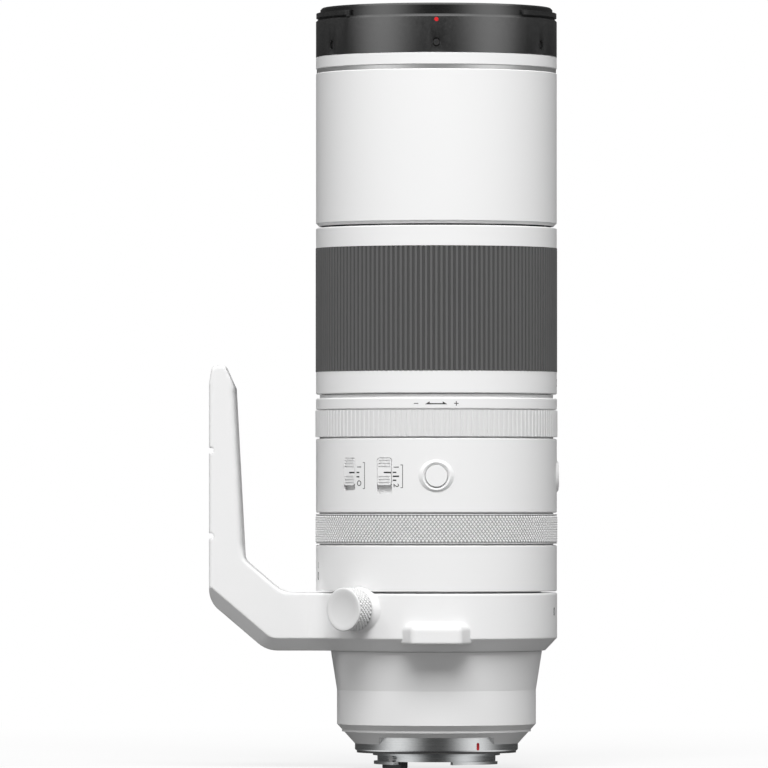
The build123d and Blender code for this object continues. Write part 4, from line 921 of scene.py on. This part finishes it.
def bareMaterial(name):
    # a material without a shader, and the socket that its surface goes to
    material = bpy.data.materials.new(name)
    material.use_nodes = True
    tree = material.node_tree
    tree.nodes.clear()
    return material, tree, addNode(tree, "ShaderNodeOutputMaterial").inputs["Surface"]


def mixShaders(tree, share, first, second):
    mix = addNode(tree, "ShaderNodeMixShader")
    for value, slot in zip((share, first, second), mix.inputs):
        tree.links.new(value, slot)
    return mix.outputs[0]


def makeWorld(settings):
    world = bpy.data.worlds.new("studio")
    scene.world = world
    world.use_nodes = True
    tree = world.node_tree
    tree.nodes.clear()
    place = addNode(tree, "ShaderNodeTexCoord").outputs["Generated"]
    fill = mapRange(tree, splitVector(tree, place)["Z"], 0.0, 1.0, To_Min=settings["fillHorizon"],
                    To_Max=settings["fillZenith"])
    # full white where it is seen, and a weaker fill where it only lights
    light = addNode(tree, "ShaderNodeBackground", Color=(1, 1, 1, 1))
    tree.links.new(mathNode(tree, "MAXIMUM", fill, raySees(tree)), light.inputs["Strength"])
    out = addNode(tree, "ShaderNodeOutputWorld")
    tree.links.new(light.outputs[0], out.inputs["Surface"])


def makeFloor(settings):
    material, tree, surface = bareMaterial("paleFloor")
    dull = addNode(tree, "ShaderNodeBsdfDiffuse", Color=(settings["floorTone"],) * 3 + (1,))
    pale = addNode(tree, "ShaderNodeBsdfDiffuse", Color=grey(settings["shadowTone"]))
    white = addNode(tree, "ShaderNodeEmission", Color=(1, 1, 1, 1), Strength=1.0)
    # the shadow is kept round the mount and fades out before the floor's far edge
    reach = addNode(tree, "ShaderNodeVectorMath", operation="LENGTH")
    tree.links.new(objectPlace(tree), reach.inputs[0])
    near = mapRange(tree, reach.outputs["Value"], settings["shadowFrom"], settings["shadowTo"],
                    To_Min=settings["shadowShare"], To_Max=0.0, interpolation_type="SMOOTHSTEP")
    shown = mixShaders(tree, near, white.outputs[0], pale.outputs[0])
    tree.links.new(mixShaders(tree, raySees(tree), dull.outputs[0], shown), surface)
    half, level = settings["floorSize"] / 2, cadLow.z
    corners = [(-half, -half, level), (half, -half, level), (half, half, level), (-half, half, level)]
    addMesh("floor", corners, [(0, 1, 2, 3)], material)


def makeTent(settings):
    # a dark tent with two soft white strips, which only mirrors see
    material, tree, surface = bareMaterial("mirrorTent")
    split = splitVector(tree, objectPlace(tree))
    ahead = mathNode(tree, "MULTIPLY", split["Y"], -1.0)
    azimuth = mathNode(tree, "ABSOLUTE", mathNode(tree, "ARCTAN2", split["X"], ahead))
    fromStrip = mathNode(tree, "SUBTRACT", azimuth, math.radians(settings["stripAzimuth"]))
    quarter = math.pi / 2
    share = mathNode(tree, "MULTIPLY", mathNode(tree, "ABSOLUTE", fromStrip),
                     quarter / math.radians(settings["stripHalfWidth"]))
    wave = mathNode(tree, "COSINE", mathNode(tree, "MINIMUM", share, quarter))
    strip = mathNode(tree, "MULTIPLY", wave, wave)
    glow = addNode(tree, "ShaderNodeEmission", Strength=1.0)
    color = mixColors(tree, strip, grey(settings["tentTone"]), grey(settings["stripTone"]))
    tree.links.new(color, glow.inputs["Color"])
    tree.links.new(glow.outputs[0], surface)
    steps, low = settings["tentSteps"], cadLow.z + settings["tentLift"]
    points, faces, rows = [], [], []
    for reach, level in ((settings["tentFoot"], low), (settings["tentDistance"], low),
                         (settings["tentDistance"], settings["tentHeight"])):
        turns = [2 * math.pi * i / steps for i in range(steps)]
        rows.append(addRow(points, [(math.sin(a) * reach, -math.cos(a) * reach, level) for a in turns]))
    for lower, upper in zip(rows, rows[1:]):
        joinRows(faces, upper, lower)
    tent = addMesh("mirrorTent", points, faces, material)
    tent.visible_camera = False
    tent.visible_diffuse = False
    tent.visible_transmission = False
    tent.visible_shadow = False


lampSettings = {
    "frontTop": {"place": (0, -2.4, 3.02), "size": (2.4, 1.8), "power": 156},
    "backTop": {"place": (0, 1.6, 2.0), "size": (1.8, 1.2), "power": 8},
    "leftTop": {"place": (-1.9, -0.8, 2.0), "size": (0.8, 0.8), "power": 12},
    "rightTop": {"place": (1.9, -0.8, 2.0), "size": (0.8, 0.8), "power": 12},
}


def makeLamps(settings):
    middle = (cadLow + cadHigh) / 2
    for name, values in settings.items():
        data = bpy.data.lights.new(name, "AREA")
        data.shape = "RECTANGLE"
        data.size, data.size_y = values["size"]
        data.energy = values["power"]
        lamp = bpy.data.objects.new(name, data)
        lamp.location = values["place"]
        lamp.rotation_euler = (middle - Vector(values["place"])).to_track_quat("-Z", "Y").to_euler()
        lamp.visible_glossy = False
        scene.collection.objects.link(lamp)


makeWorld(stageSettings)
makeFloor(stageSettings)
makeTent(stageSettings)
makeLamps(lampSettings)
print("floor and lamps set")
